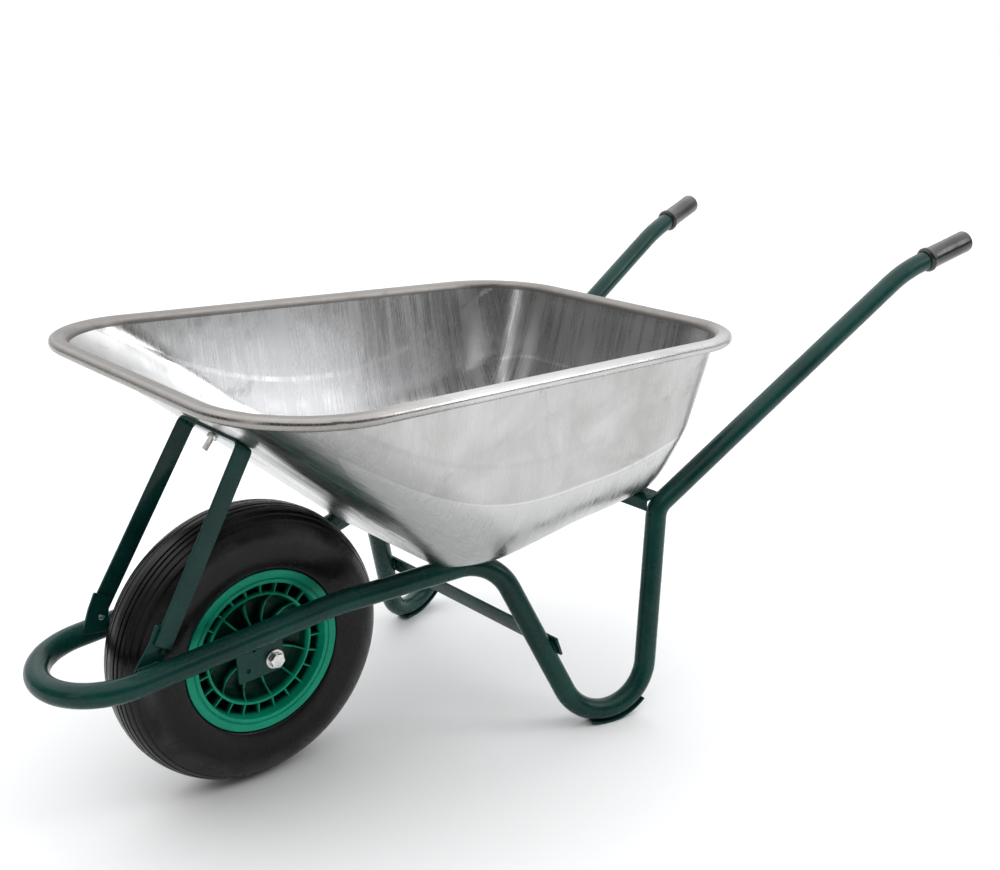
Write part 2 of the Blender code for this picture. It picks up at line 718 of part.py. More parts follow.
def build_wheel(plastic, rubber, tube_rubber, zinc, cap_plastic):
    centre = wheel_centre()
    rim_half = [
        (0.0965, 0.0180),
        (BEAD_SEAT_RADIUS, 0.0240),
        (BEAD_SEAT_RADIUS, 0.0415),
        (FLANGE_RADIUS, 0.0422),
        (FLANGE_RADIUS, FLANGE_FACE - 0.001),
        (FLANGE_RADIUS - 0.0015, FLANGE_FACE),
        (0.1060, FLANGE_FACE),
        (0.1045, FLANGE_FACE - 0.0025),
        (0.1030, FLANGE_FACE),
        (0.0980, FLANGE_FACE),
        (0.0972, RIB_FACE),
        (RING_INNER, RIB_FACE),
        (0.0700, 0.0300),
        (0.0550, 0.0170),
        (0.0300, 0.0150),
        (HUB_RADIUS + 0.001, 0.0160),
        (HUB_RADIUS, HUB_HALF),
        (BEARING_RADIUS + GAP, HUB_HALF),
        (BEARING_RADIUS + GAP, HUB_HALF - BEARING_WIDTH),
        (0.0105, HUB_HALF - BEARING_WIDTH),
    ]
    points, faces = lathe_shape(both_sides(rim_half), centre, (0, 1, 0), WHEEL_SIDES)
    rim = solid("wheel_centre", points, faces, plastic, origin=centre)
    pitch = 2 * math.pi / LONG_RIBS
    pockets = []
    for side in (1, -1):
        low, high = side * WEB_HALF, side * 0.060
        for index in range(LONG_RIBS):
            angle = RIB_START + pitch * (index + 0.5)
            pockets.append(
                wedge_shape(angle, pitch / 2, HUB_RADIUS + 0.002, 0.0765, RING_INNER, low, high, (-1, 0, 1))
            )
        for index in range(2 * LONG_RIBS):
            angle = RIB_START + pitch / 2 * (index + 0.5)
            pockets.append(
                wedge_shape(angle, pitch / 4, RING_OUTER, 0.0925, 0.0968, low, high, (-1, 1))
            )
    cut(rim, *pockets)
    valve = Vector((math.cos(VALVE_ANGLE), 0.0, math.sin(VALVE_ANGLE)))
    base = centre + Vector((0.0, VALVE_Y, 0.0))
    cut(rim, cylinder_shape(base + valve * 0.0970, valve, 0.0044, 0.022, 12))

    tyre_outer = [
        (BEAD_SEAT_RADIUS + GAP, 0.0300),
        (BEAD_SEAT_RADIUS + GAP, 0.0411),
        (FLANGE_RADIUS, 0.0417),
        (0.1190, 0.0460),
        (0.1330, 0.0515),
        (0.1530, TYRE_HALF_WIDTH),
        (0.1720, 0.0500),
        (0.1880, 0.0385),
        (0.1970, 0.0200),
        (TYRE_RADIUS, 0.0000),
    ]
    tyre_inner = [
        (0.1940, 0.0000),
        (0.1905, 0.0190),
        (0.1800, 0.0355),
        (0.1640, 0.0445),
        (0.1450, 0.0465),
        (0.1240, 0.0405),
        (0.1060, 0.0285),
    ]
    half = tyre_outer[:-1]
    loop = half + [tyre_outer[-1]] + [(radius, -along) for radius, along in reversed(half)]
    loop += [(radius, -along) for radius, along in reversed(tyre_inner[1:])] + tyre_inner
    solid("tyre", *lathe_shape(list(reversed(loop)), centre, (0, 1, 0), WHEEL_SIDES), rubber, 50.0, origin=centre)

    cavity = tyre_inner + [(BEAD_SEAT_RADIUS + 2 * GAP, 0.0275)]
    cavity += [(radius, -along) for radius, along in reversed(cavity[1:])]
    whole = moved_inwards(cavity, 2 * GAP)
    outer_points, outer_faces = lathe_shape(whole, centre, (0, 1, 0), WHEEL_SIDES)
    inner_points, inner_faces = lathe_shape(moved_inwards(whole, 0.002), centre, (0, 1, 0), WHEEL_SIDES)
    shells = [
        (outer_points, outward(outer_points, outer_faces)),
        (inner_points, flipped(outward(inner_points, inner_faces))),
    ]
    tube = solid("inner_tube", *merged(shells), tube_rubber, 60.0, origin=centre)
    cut(tube, cylinder_shape(base + valve * 0.1036, valve, 0.0043, 0.009, 12))
    build_valve(base, valve, cap_plastic, tube_rubber)

    for side, name in ((1, "left"), (-1, "right")):
        middle = at_axle(0.0, side * (HUB_HALF - BEARING_WIDTH / 2 + GAP), AXLE_HEIGHT)
        width = BEARING_WIDTH - 2 * GAP
        shape = ring_shape(middle, (0, 1, 0), BEARING_RADIUS, AXLE_RADIUS + GAP, width, 24)
        solid("bearing_" + name, *shape, zinc, origin=centre)


def moved_inwards(loop, distance):
    """The closed loop with every corner moved into it by the given distance."""
    moved = []
    for before, corner, after in zip(loop[-1:] + loop[:-1], loop, loop[1:] + loop[:1]):
        first = (Vector(corner) - Vector(before)).normalized()
        second = (Vector(after) - Vector(corner)).normalized()
        middle = (first + second).normalized()
        inwards = Vector((-middle.y, middle.x)) if turns_left(loop) else Vector((middle.y, -middle.x))
        stretch = distance / max(math.cos(first.angle(second) / 2), 0.5)
        moved.append(tuple(Vector(corner) + inwards * stretch))
    return moved


def turns_left(loop):
    following = loop[1:] + loop[:1]
    return sum(a[0] * b[1] - b[0] * a[1] for a, b in zip(loop, following)) > 0


def build_valve(base, spoke, cap_plastic, rubber):
    """A bent valve that leaves the rim between two ribs and turns to the right-hand side."""
    right = Vector((0.0, -1.0, 0.0))
    corner = base + spoke * 0.0872
    path = rounded_path([base + spoke * 0.1040, corner, corner + right * 0.034], [0.007], 6)
    solid("valve_stem", *tube_shape(path, 0.0038, None, 12), rubber, origin=wheel_centre())
    tip = corner + right * 0.0343
    profile = [
        (0.0, 0.0),
        (0.0046, 0.0),
        (0.0046, 0.0085),
        (0.0036, 0.0100),
        (0.0, 0.0100),
    ]
    solid("valve_cap", *lathe_shape(profile, tip, right, 12), cap_plastic, origin=wheel_centre())


def build_axle(zinc):
    """The bolt through both brackets and the hub, with sleeves that hold the wheel in the middle."""
    centre = wheel_centre()
    left = Vector((0.0, 1.0, 0.0))
    washer = 0.0025
    washer_middle = BRACKET_OUTER + GAP + washer / 2
    head_base = BRACKET_OUTER + 2 * GAP + washer
    nut = 0.010
    head = [
        (0.0, -head_base - nut - 0.006),
        (AXLE_RADIUS, -head_base - nut - 0.006),
        (AXLE_RADIUS, head_base),
        (0.0110, head_base),
        (0.0110, head_base + 0.0065),
        (0.0098, head_base + 0.0075),
        (0.0, head_base + 0.0075),
    ]
    solid("axle_bolt", *lathe_shape(head, centre, left, 18), zinc)
    nut_middle = centre - left * (head_base + GAP + nut / 2)
    solid("axle_nut", *hexagon_shape(nut_middle, left, 0.0110, nut, 0.0073), zinc)
    for side, name in ((1, "left"), (-1, "right")):
        middle = centre + left * (side * washer_middle)
        shape = ring_shape(middle, left, 0.0135, AXLE_RADIUS + GAP, washer, 24)
        solid("axle_washer_" + name, *shape, zinc)
        first, last = HUB_HALF + 2 * GAP, BRACKET_INNER - GAP
        middle = centre + left * (side * (first + last) / 2)
        shape = ring_shape(middle, left, 0.0095, AXLE_RADIUS + GAP, last - first, 20)
        solid("axle_sleeve_" + name, *shape, zinc)


def main():
    clear_scene()
    paint = material("green_paint", (0.010, 0.060, 0.046), 0.35, 0.0)
    steel = material("galvanised_steel", (0.55, 0.56, 0.57), 0.35, 1.0)
    zinc = material("zinc_plate", (0.62, 0.62, 0.60), 0.30, 1.0)
    plastic = material("green_plastic", (0.006, 0.330, 0.190), 0.40, 0.0)
    tyre_rubber = material("tyre_rubber", (0.016, 0.016, 0.017), 0.60, 0.0)
    tube_rubber = material("tube_rubber", (0.020, 0.020, 0.020), 0.55, 0.0)
    cap_plastic = material("cap_plastic", (0.015, 0.015, 0.015), 0.45, 0.0)
    grip_plastic = material("grip_plastic", (0.018, 0.018, 0.020), 0.30, 0.0)
    build_frame_tubes(paint)
    build_foot_plates(paint)
    build_axle_brackets(paint)
    build_strap_tabs(paint)
    build_front_strap(paint)
    build_leg_brace(paint)
    build_rear_crossmember(paint)
    build_tray(steel)
    build_tray_bolts(zinc)
    build_grips(grip_plastic)
    build_wheel(plastic, tyre_rubber, tube_rubber, zinc, cap_plastic)
    build_axle(zinc)


main()
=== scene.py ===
"""Looks of the steel-tray wheelbarrow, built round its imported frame, in metres.

+X points forward to the wheel, +Y to the left hand of the person pushing, +Z up.
"""

import json
import math

import bpy
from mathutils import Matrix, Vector, noise


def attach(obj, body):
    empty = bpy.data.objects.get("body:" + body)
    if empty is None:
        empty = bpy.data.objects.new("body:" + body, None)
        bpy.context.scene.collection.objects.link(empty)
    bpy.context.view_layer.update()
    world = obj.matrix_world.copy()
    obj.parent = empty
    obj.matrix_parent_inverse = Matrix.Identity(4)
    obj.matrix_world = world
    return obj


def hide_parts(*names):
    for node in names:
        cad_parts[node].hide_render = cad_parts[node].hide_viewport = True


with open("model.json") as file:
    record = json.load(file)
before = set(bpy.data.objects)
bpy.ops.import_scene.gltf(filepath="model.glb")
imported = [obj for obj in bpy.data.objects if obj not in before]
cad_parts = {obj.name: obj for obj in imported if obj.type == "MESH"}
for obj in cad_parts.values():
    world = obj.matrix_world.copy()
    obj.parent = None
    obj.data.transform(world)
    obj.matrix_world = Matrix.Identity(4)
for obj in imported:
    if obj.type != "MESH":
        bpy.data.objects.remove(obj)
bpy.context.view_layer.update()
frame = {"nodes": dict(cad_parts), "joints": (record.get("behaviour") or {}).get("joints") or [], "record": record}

GAP = 0.0003
AXLE = Vector(frame["joints"][0]["pos_m"])
LEFT = Vector((0.0, 1.0, 0.0))
UP = Vector((0.0, 0.0, 1.0))
SIDES = ((1, "left"), (-1, "right"))

# Frame tube, given forward of the axle, left of centre, above the ground, and the bend radius
TUBE_RADIUS = 0.016
TUBE_WALL = 0.0015
TUBE_SIDES = 40
FORK_HALF = 0.088
NOSE_REACH = 0.285
NOSE_HEIGHT = 0.235
SIDE_POINTS = [
    (-0.0863, FORK_HALF, 0.2582, 0.200),
    (-0.3212, 0.1493, 0.2818, 0.077),
    (-0.4900, 0.2870, -0.1642, 0.074),
    (-0.5874, 0.2214, 0.3110, 0.030),
    (-1.1131, 0.2783, 0.6114, 0.276),
]
TUBE_END = (-1.2450, 0.3035, 0.6479)
FOOT_PLATE_THICKNESS = 0.003
FOOT_PLATE_WIDTH = 0.026

# Plates, flat bars and the tray's bolts
BOLT_HOLE = 0.0045
BOLT_RADIUS = 0.0040
CUP_RADIUS = 0.0095
CUP_HEIGHT = 0.0045
PLAIN_SHANK = 0.006
PLATE = 0.004
BRACKET_INNER = FORK_HALF - TUBE_RADIUS - GAP - PLATE
BRACKET_OUTER = BRACKET_INNER + PLATE
BAR_WIDTH = 0.025
STRAP_HALF = BRACKET_OUTER + GAP + PLATE / 2
STRAP_FOOT = (0.1575, 0.2725)
RIGHT_LEAN = 0.0170
STRAP_TOP = 0.0200
BRACE_HEIGHT = 0.1290
BRACE_WIDTH = 0.0320
BRACE_HALF = 0.212
CROSSMEMBER_FRONT = -0.5660
CROSSMEMBER_REAR = -0.6000
CROSSMEMBER_HALF = 0.2185
CROSSMEMBER_DROP = 0.018
CROSSMEMBER_THICKNESS = 0.003

# Tray
SHEET = 0.001
RIM_FRONT = 0.1445
RIM_REAR = -0.7368
RIM_HALF_FRONT = 0.3262
RIM_HALF_REAR = 0.2960
RIM_HEIGHT = 0.5995
RIM_SLOPE = 0.0419
RIM_CORNER_FRONT = 0.152
RIM_CORNER_REAR = 0.137
BEAD_RADIUS = 0.007
WALL_INSET = 0.025
WALL_DROP = 0.004
FLOOR_FRONT = -0.2282
FLOOR_REAR = -0.6080
FLOOR_HALF = 0.164
FLOOR_CORNER = 0.040
FLOOR_HEIGHT = 0.2899
FLOOR_SLOPE = -0.110
WALL_FRONT = -0.0753
WALL_REAR = -0.6738
WALL_HALF_FRONT = 0.268
WALL_HALF_REAR = 0.250
WALL_CORNER_FRONT = 0.130
WALL_CORNER_REAR = 0.100
WALL_HEIGHT = 0.425
CREASE_HEIGHT = 0.403
CREASE_FRONT = -0.3458
CREASE_REAR = -0.4258
CREASE_KINK = 0.018
FRONT_CREASE_SHARE = 0.44
REAR_BOLT_X = -0.5840
REAR_BOLT_Y = 0.110
CURVE_STEPS = 20
WALL_STEPS = 10
FLANGE_RINGS = 6
CORNER_STEPS = 18
RUN_STEPS = (30, 16, 30, 18)

# Wheel
TYRE_RADIUS = 0.200
FIRST_GROOVE = 0.0095
GROOVE_PITCH = 0.0083
GROOVE_DEPTH = 0.0019
BEAD_SEAT_RADIUS = 0.1015
FLANGE_RADIUS = 0.1165
RIB_COUNT = 12
RIB_START = math.radians(20.2)
RIB_THICKNESS = 0.0026
HUB_HALF = 0.0395
AXLE_RADIUS = 0.006
SPANNER = 0.0190
AXLE_HEAD = 0.0075
AXLE_NUT = 0.010
WASHER = 0.0025

# Grips
GRIP_LENGTH = 0.092
GRIP_RADIUS = 0.0185
COLLAR_RADIUS = 0.0208

# The inner press line: its lowest point forward of the frame's origin, its height there and its curve
LINE_FORWARD = 0.14
LINE_HEIGHT = 0.462
LINE_CURVE = 0.95

# Camera
LENS = 45.27
SHIFT_UP = 0.055
AZIMUTH = math.radians(138.72)
ELEVATION = math.radians(20.63)
DISTANCE = 1.9885
TARGET = AXLE + Vector((-0.4659, 0.0, 0.1055))


# ---------------------------------------------------------------- shapes


def at_axle(forward, left, height):
    """A point given forward of the axle, left of the centre plane and above the ground."""
    return Vector((AXLE.x + forward, left, height))


def mirrored(points):
    return [Vector((point[0], -point[1], point[2])) for point in points]


def handed(shape, side):
    """The left side's shape for side 1, and its mirror image for side -1."""
    return shape if side > 0 else (mirrored(shape[0]), shape[1])


def flipped(faces):
    return [list(reversed(face)) for face in faces]


def signed_volume(points, faces):
    total = 0.0
    for face in faces:
        for second, third in zip(face[1:], face[2:]):
            total += points[face[0]].dot(points[second].cross(points[third]))
    return total / 6


def outward(points, faces):
    return faces if signed_volume(points, faces) > 0 else flipped(faces)


def merged(shapes):
    """Joins separate (points, faces) shapes into one, each turned to face out."""
    points, faces = [], []
    for some_points, some_faces in shapes:
        start = len(points)
        points.extend(some_points)
        faces.extend([start + index for index in face] for face in outward(some_points, some_faces))
    return points, faces


def mesh_object(name, shape):
    points, faces = shape
    mesh = bpy.data.meshes.new(name)
    mesh.from_pydata(points, [], faces)
    mesh.update()
    obj = bpy.data.objects.new(name, mesh)
    bpy.context.scene.collection.objects.link(obj)
    return obj


def shade(obj, angle):
    """Shades the mesh smooth, but for the edges sharper than the angle in degrees."""
    obj.data.shade_smooth()
    obj.data.set_sharp_from_angle(angle=math.radians(angle))


def piece(name, shape, slot, replaces=None, body="frame", smooth=35.0):
    """One mesh object in its slot's material, which rides on a body and may stand for a CAD node."""
    obj = mesh_object(name, (shape[0], outward(*shape)))
    obj.data.materials.append(LOOKS[slot])
    shade(obj, smooth)
    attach(obj, body)
    if replaces:
        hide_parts(replaces)
    return obj


def boolean(obj, shape, operation, smooth=35.0):
    """Joins a shape to an object or cuts it out, and keeps the result as the object's mesh."""
    tool = mesh_object("tool", (shape[0], outward(*shape)))
    modifier = obj.modifiers.new("Join", "BOOLEAN")
    modifier.operation = operation
    modifier.solver = "EXACT"
    modifier.object = tool
    keep_modifiers(obj)
    bpy.data.objects.remove(tool, do_unlink=True)
    shade(obj, smooth)


def keep_modifiers(obj):
    """Makes the result of the object's modifiers its own mesh."""
    graph = bpy.context.evaluated_depsgraph_get()
    made = bpy.data.meshes.new_from_object(obj.evaluated_get(graph), depsgraph=graph)
    obj.modifiers.clear()
    obj.data = made


def rounded_path(points, radii, steps):
    """A polyline through the points, with an arc of the given radius at each inner point."""
    points = [Vector(point) for point in points]
    path = [points[0]]
    for before, corner, after, radius in zip(points, points[1:], points[2:], radii):
        back = (before - corner).normalized()
        ahead = (after - corner).normalized()
        angle = back.angle(ahead)
        centre = corner + (back + ahead).normalized() * (radius / math.sin(angle / 2))
        reach = radius / math.tan(angle / 2)
        first = corner + back * reach - centre
        last = corner + ahead * reach - centre
        turn = first.angle(last)
        count = max(2, round(steps * turn / math.radians(90)))
        for index in range(count + 1):
            share = index / count
            weight_first = math.sin((1 - share) * turn) / math.sin(turn)
            weight_last = math.sin(share * turn) / math.sin(turn)
            path.append(centre + first * weight_first + last * weight_last)
    path.append(points[-1])
    return path


def rounded_loop(loop, radius, steps=3):
    """A closed (radius, distance) loop with each corner rounded, by less where its sides are short."""
    made = []
    for before, corner, after in zip(loop[-1:] + loop[:-1], loop, loop[1:] + loop[:1]):
        corner = Vector((*corner, 0.0))
        back = Vector((*before, 0.0)) - corner
        ahead = Vector((*after, 0.0)) - corner
        angle = back.angle(ahead)
        if angle > math.radians(165):
            made.append((corner.x, corner.y))
            continue
        most = min(back.length, ahead.length) * 0.45 * math.tan(angle / 2)
        size = min(radius, most)
        reach = size / math.tan(angle / 2)
        arc = [corner]
        if reach:
            arc = rounded_path([corner + back, corner, corner + ahead], [size], steps)[1:-1]
        made += [(point.x, point.y) for point in arc]
    return made


def tangents(path):
    found = []
    for index in range(len(path)):
        before = path[max(index - 1, 0)]
        after = path[min(index + 1, len(path) - 1)]
        found.append((after - before).normalized())
    return found


def strip_faces(rings, count, closed_ends=True):
    """Quads between rings of the same size laid one after another, with an end face on each end."""
    faces = []
    for ring in range(rings - 1):
        for index in range(count):
            step = (index + 1) % count
            low, high = ring * count, (ring + 1) * count
            faces.append([low + index, low + step, high + step, high + index])
    if closed_ends:
        faces.append(list(reversed(range(count))))
        faces.append([(rings - 1) * count + index for index in range(count)])
    return faces


def ring_frames(path, first_tangent=None):
    """Two directions across the path at each point, carried along it without twist."""
    along = tangents(path)
    if first_tangent is not None:
        along[0] = Vector(first_tangent).normalized()
    side = along[0].cross(UP).normalized()
    frames = []
    for index, direction in enumerate(along):
        if index:
            side = (along[index - 1].rotation_difference(direction) @ side).normalized()
        side = (side - direction * side.dot(direction)).normalized()
        frames.append((side, direction.cross(side)))
    return frames


def swept(path, radii, sides, first_tangent=None):
    """A solid round bar along the path, with a radius for each point of it."""
    points = []
    for centre, (side, up), size in zip(path, ring_frames(path, first_tangent), radii):
        for index in range(sides):
            angle = 2 * math.pi * index / sides
            points.append(centre + side * (size * math.cos(angle)) + up * (size * math.sin(angle)))
    return points, strip_faces(len(path), sides)


def tube_shape(path, radius, inner_radius, sides, first_tangent=None):
    """A tube along the path, open at both ends."""
    outer, outer_faces = swept(path, [radius] * len(path), sides, first_tangent)
    inner, _ = swept(path, [inner_radius] * len(path), sides, first_tangent)
    walls = outer_faces[:-2]
    inside = [[index + len(outer) for index in face] for face in flipped(walls)]
    last = (len(path) - 1) * sides
    ends = []
    for index in range(sides):
        step = (index + 1) % sides
        ends.append([index, len(outer) + index, len(outer) + step, step])
        far = len(outer) + last
        ends.append([last + index, last + step, far + step, far + index])
    return outer + inner, walls + inside + ends


def bar_shape(path, width_directions, width, thickness, round_edge=0.0006):
    """A flat bar along the path with softened long edges. Each width direction lies across the bar."""
    corners = [(1, 1), (-1, 1), (-1, -1), (1, -1)]
    section = [(along * width / 2, lift * thickness / 2) for along, lift in corners]
    section = rounded_loop(section, round_edge)
    points = []
    for centre, direction, across in zip(path, tangents(path), width_directions):
        across = (across - direction * across.dot(direction)).normalized()
        normal = direction.cross(across)
        points += [centre + across * along + normal * lift for along, lift in section]
    return points, strip_faces(len(path), len(section))


def lathe_shape(profile, centre, axis, sides):
    """A solid of revolution. The profile holds (radius, distance along the axis), and it either starts
    and ends on the axis or is a closed loop away from it."""
    axis = Vector(axis).normalized()
    side = axis.orthogonal().normalized()
    up = axis.cross(side)
    points, rings = [], []
    for radius, along in profile:
        count = sides if radius > 0 else 1
        rings.append((len(points), count))
        for index in range(count):
            angle = 2 * math.pi * index / sides
            spoke = side * (radius * math.cos(angle)) + up * (radius * math.sin(angle))
            points.append(Vector(centre) + axis * along + spoke)
    if profile[0][0] > 0:
        rings.append(rings[0])
    faces = []
    for (low, low_count), (high, high_count) in zip(rings, rings[1:]):
        for index in range(sides):
            step = (index + 1) % sides
            if low_count == 1:
                faces.append([low, high + step, high + index])
            elif high_count == 1:
                faces.append([low + index, low + step, high])
            else:
                faces.append([low + index, low + step, high + step, high + index])
    return points, faces


def cylinder_shape(centre, axis, radius, length, sides=32):
    half = length / 2
    return lathe_shape([(0.0, -half), (radius, -half), (radius, half), (0.0, half)], centre, axis, sides)


def ring_shape(centre, axis, outer, inner, length, sides=64, soft=0.0004):
    """A washer or a sleeve with softened edges."""
    half = length / 2
    loop = [(inner, -half), (outer, -half), (outer, half), (inner, half)]
    return lathe_shape(rounded_loop(loop, soft), centre, axis, sides)


def nut_shape(centre, axis, across, bore, height, chamfer=0.0012):
    """A hexagonal nut, or a bolt's head if the bore is nothing. Its corners are turned down at both faces."""
    axis = Vector(axis).normalized()
    side = axis.orthogonal().normalized()
    up = axis.cross(side)
    sides, inscribed, half = 72, across / 2, height / 2
    angles = [2 * math.pi * index / sides for index in range(sides)]

    def reach(angle, most):
        slant = (angle + math.pi / 6) % (math.pi / 3) - math.pi / 6
        return min(inscribed / math.cos(slant), most)

    corner, edge = inscribed / math.cos(math.pi / 6), half - chamfer * 0.6
    levels = [(-half, inscribed * 0.97), (-edge, corner), (edge, corner), (half, inscribed * 0.97)]
    rings = [[(reach(angle, most), along) for angle in angles] for along, most in levels]
    if bore:
        rings = [[(bore, -half)] * sides] + rings + [[(bore, half)] * sides]
    points = []
    for ring in rings:
        for angle, (radius, along) in zip(angles, ring):
            spoke = side * math.cos(angle) + up * math.sin(angle)
            points.append(Vector(centre) + axis * along + spoke * radius)
    faces = strip_faces(len(rings), sides, closed_ends=not bore)
    last = (len(rings) - 1) * sides
    for index in range(sides if bore else 0):
        step = (index + 1) % sides
        faces.append([last + index, last + step, step, index])
    return points, faces


def thread_profile(radius, start, end, pitch=0.0015):
    """Points down a threaded shank from start to end, as ridges of the given pitch."""
    made = []
    count = max(1, round(abs(end - start) / pitch))
    for index in range(count):
        low = start + (end - start) * index / count
        high = start + (end - start) * (index + 1) / count
        made += [(radius * 0.90, low), (radius, low * 0.6 + high * 0.4), (radius, low * 0.4 + high * 0.6)]
    made.append((radius * 0.88, end))
    return made


def moved_inwards(loop, distance):
    """The closed loop with every corner moved into it by the given distance."""
    following = loop[1:] + loop[:1]
    left_turn = sum(a[0] * b[1] - b[0] * a[1] for a, b in zip(loop, following)) > 0
    moved = []
    for before, corner, after in zip(loop[-1:] + loop[:-1], loop, following):
        first = (Vector(corner) - Vector(before)).normalized()
        second = (Vector(after) - Vector(corner)).normalized()
        middle = (first + second).normalized()
        inwards = Vector((-middle.y, middle.x)) if left_turn else Vector((middle.y, -middle.x))
        stretch = distance / max(math.cos(first.angle(second) / 2), 0.5)
        moved.append(tuple(Vector(corner) + inwards * stretch))
    return moved


def plate_shape(outline, near, far, soft=0.0006):
    """A plate across Y with softened edges. Its outline is given as (forward of the axle, height)."""
    outline = rounded_loop(outline, 0.002, 4)
    inner = moved_inwards(outline, soft)
    step = math.copysign(soft, far - near)
    layers = [(inner, near), (outline, near + step), (outline, far - step), (inner, far)]
    points = [at_axle(forward, left, height) for loop, left in layers for forward, height in loop]
    return points, strip_faces(len(layers), len(outline))


def weld_shape(path, radius, seed=0.0):
    """A weld bead along the path: overlapping ripples, thinner at both ends."""
    length = sum((b - a).length for a, b in zip(path, path[1:]))
    count = max(8, round(length / 0.0008))
    line = resampled(path, count)
    radii = []
    for index in range(count + 1):
        along = index / count
        ripple = 0.12 * math.sin(2 * math.pi * along * length / 0.0042 + seed)
        lump = 0.25 * noise.noise(Vector((along * length * 90, seed, 0.0)))
        end = min(1.0, 6 * min(along, 1 - along) + 0.35)
        radii.append(radius * (1 + ripple + lump) * math.sqrt(end))
    return swept(line, radii, 12)


def resampled(path, count):
    """The path with its points at equal spacing."""
    marks = [0.0]
    for before, after in zip(path, path[1:]):
        marks.append(marks[-1] + (after - before).length)
    made, part = [], 0
    for index in range(count + 1):
        want = marks[-1] * index / count
        while part < len(path) - 2 and marks[part + 1] < want:
            part += 1
        share = (want - marks[part]) / max(marks[part + 1] - marks[part], 1e-9)
        made.append(path[part].lerp(path[part + 1], min(share, 1.0)))
    return made


# ---------------------------------------------------------------- materials


def add_node(tree, kind, **values):
    """A node with its settings, or its inputs' values: from_min is the input called From Min."""
    made = tree.nodes.new(kind)
    for key, value in values.items():
        if hasattr(made, key):
            setattr(made, key, value)
        else:
            made.inputs[key.replace("_", " ").title()].default_value = value
    return made


class Look:
    """A material with a Principled shader, and short ways to add nodes to it."""

    def __init__(self, name, colour, roughness, metallic=0.0):
        self.material = bpy.data.materials.new(name)
        self.material.use_nodes = True
        self.tree = self.material.node_tree
        self.shader = self.tree.nodes["Principled BSDF"]
        self.shader.inputs["Base Color"].default_value = (*colour, 1.0)
        self.shader.inputs["Roughness"].default_value = roughness
        self.shader.inputs["Metallic"].default_value = metallic
        self.material.diffuse_color = (*colour, 1.0)
        self.bumps = None

    def node(self, kind, **values):
        return add_node(self.tree, kind, **values)

    def link(self, source, target):
        self.tree.links.new(source, target)

    def give(self, socket, value):
        """Gives a socket a number, a colour or another node's output."""
        if isinstance(value, bpy.types.NodeSocket):
            self.link(value, socket)
        else:
            socket.default_value = (*value, 1.0) if isinstance(value, tuple) else value

    def place(self, scale=(1.0, 1.0, 1.0), source="Object"):
        """Coordinates in metres, times a scale."""
        mapping = self.node("ShaderNodeMapping", scale=scale)
        self.link(self.node("ShaderNodeTexCoord").outputs[source], mapping.inputs["Vector"])
        return mapping.outputs["Vector"]

    def noise(self, place, scale, detail=3.0, roughness=0.55, distortion=0.0):
        made = self.node("ShaderNodeTexNoise", scale=scale, detail=detail, roughness=roughness)
        made.inputs["Distortion"].default_value = distortion
        self.link(place, made.inputs["Vector"])
        return made.outputs["Fac"]

    def spread(self, value, low, high, to_low=0.0, to_high=1.0):
        """The value stretched from low..high to another range, and held inside it."""
        made = self.node("ShaderNodeMapRange", from_min=low, from_max=high, to_min=to_low, to_max=to_high)
        self.link(value, made.inputs["Value"])
        return made.outputs["Result"]

    def math(self, operation, *values):
        made = self.node("ShaderNodeMath", operation=operation)
        for socket, value in zip(made.inputs, values):
            self.give(socket, value)
        return made.outputs["Value"]

    def split(self, vector, axis):
        made = self.node("ShaderNodeSeparateXYZ")
        self.link(vector, made.inputs["Vector"])
        return made.outputs[axis]

    def distance(self, vector, target):
        made = self.node("ShaderNodeVectorMath", operation="DISTANCE")
        self.link(vector, made.inputs[0])
        made.inputs[1].default_value = target
        return made.outputs["Value"]

    def mix(self, kind, first_input, share, first, second):
        made = self.node("ShaderNodeMix", data_type=kind)
        for index, value in ((0, share), (first_input, first), (first_input + 1, second)):
            self.give(made.inputs[index], value)
        return made

    def mixed(self, share, first, second):
        """A number between two nodes' outputs."""
        return self.mix("FLOAT", 2, share, first, second).outputs[0]

    def blend(self, share, first, second):
        """A colour between two, each a colour or a node's output."""
        return self.mix("RGBA", 6, share, first, second).outputs[2]

    def colour(self, value):
        self.link(value, self.shader.inputs["Base Color"])

    def roughness(self, value):
        self.link(value, self.shader.inputs["Roughness"])

    def bump(self, height, depth):
        """Adds relief of the given depth in metres on top of any that is there."""
        made = self.node("ShaderNodeBump", strength=1.0, distance=depth)
        self.link(height, made.inputs["Height"])
        if self.bumps is not None:
            self.link(self.bumps, made.inputs["Normal"])
        self.bumps = made.outputs["Normal"]
        self.link(self.bumps, self.shader.inputs["Normal"])


def paint_look():
    """Glossy dark green paint over steel, a little uneven, with scuffs."""
    look = Look("green_paint", (0.004, 0.040, 0.032), 0.25)
    look.shader.inputs["Specular IOR Level"].default_value = 0.18
    look.shader.inputs["Coat Weight"].default_value = 0.05
    look.shader.inputs["Coat Roughness"].default_value = 0.12
    place = look.place()
    cloud = look.spread(look.noise(place, 9.0, 4.0), 0.35, 0.65)
    base = look.blend(cloud, (0.0020, 0.029, 0.024), (0.0048, 0.050, 0.041))
    scuff = look.spread(look.noise(look.place((60.0, 60.0, 60.0)), 1.0, 6.0, 0.7), 0.66, 0.72, 0.0, 0.55)
    look.colour(look.blend(scuff, base, (0.020, 0.070, 0.058)))
    look.roughness(look.spread(look.noise(place, 35.0, 5.0), 0.3, 0.7, 0.18, 0.36))
    look.bump(look.noise(place, 420.0, 2.0), 0.00010)
    look.bump(look.noise(place, 60.0, 2.0), 0.00035)
    return look.material


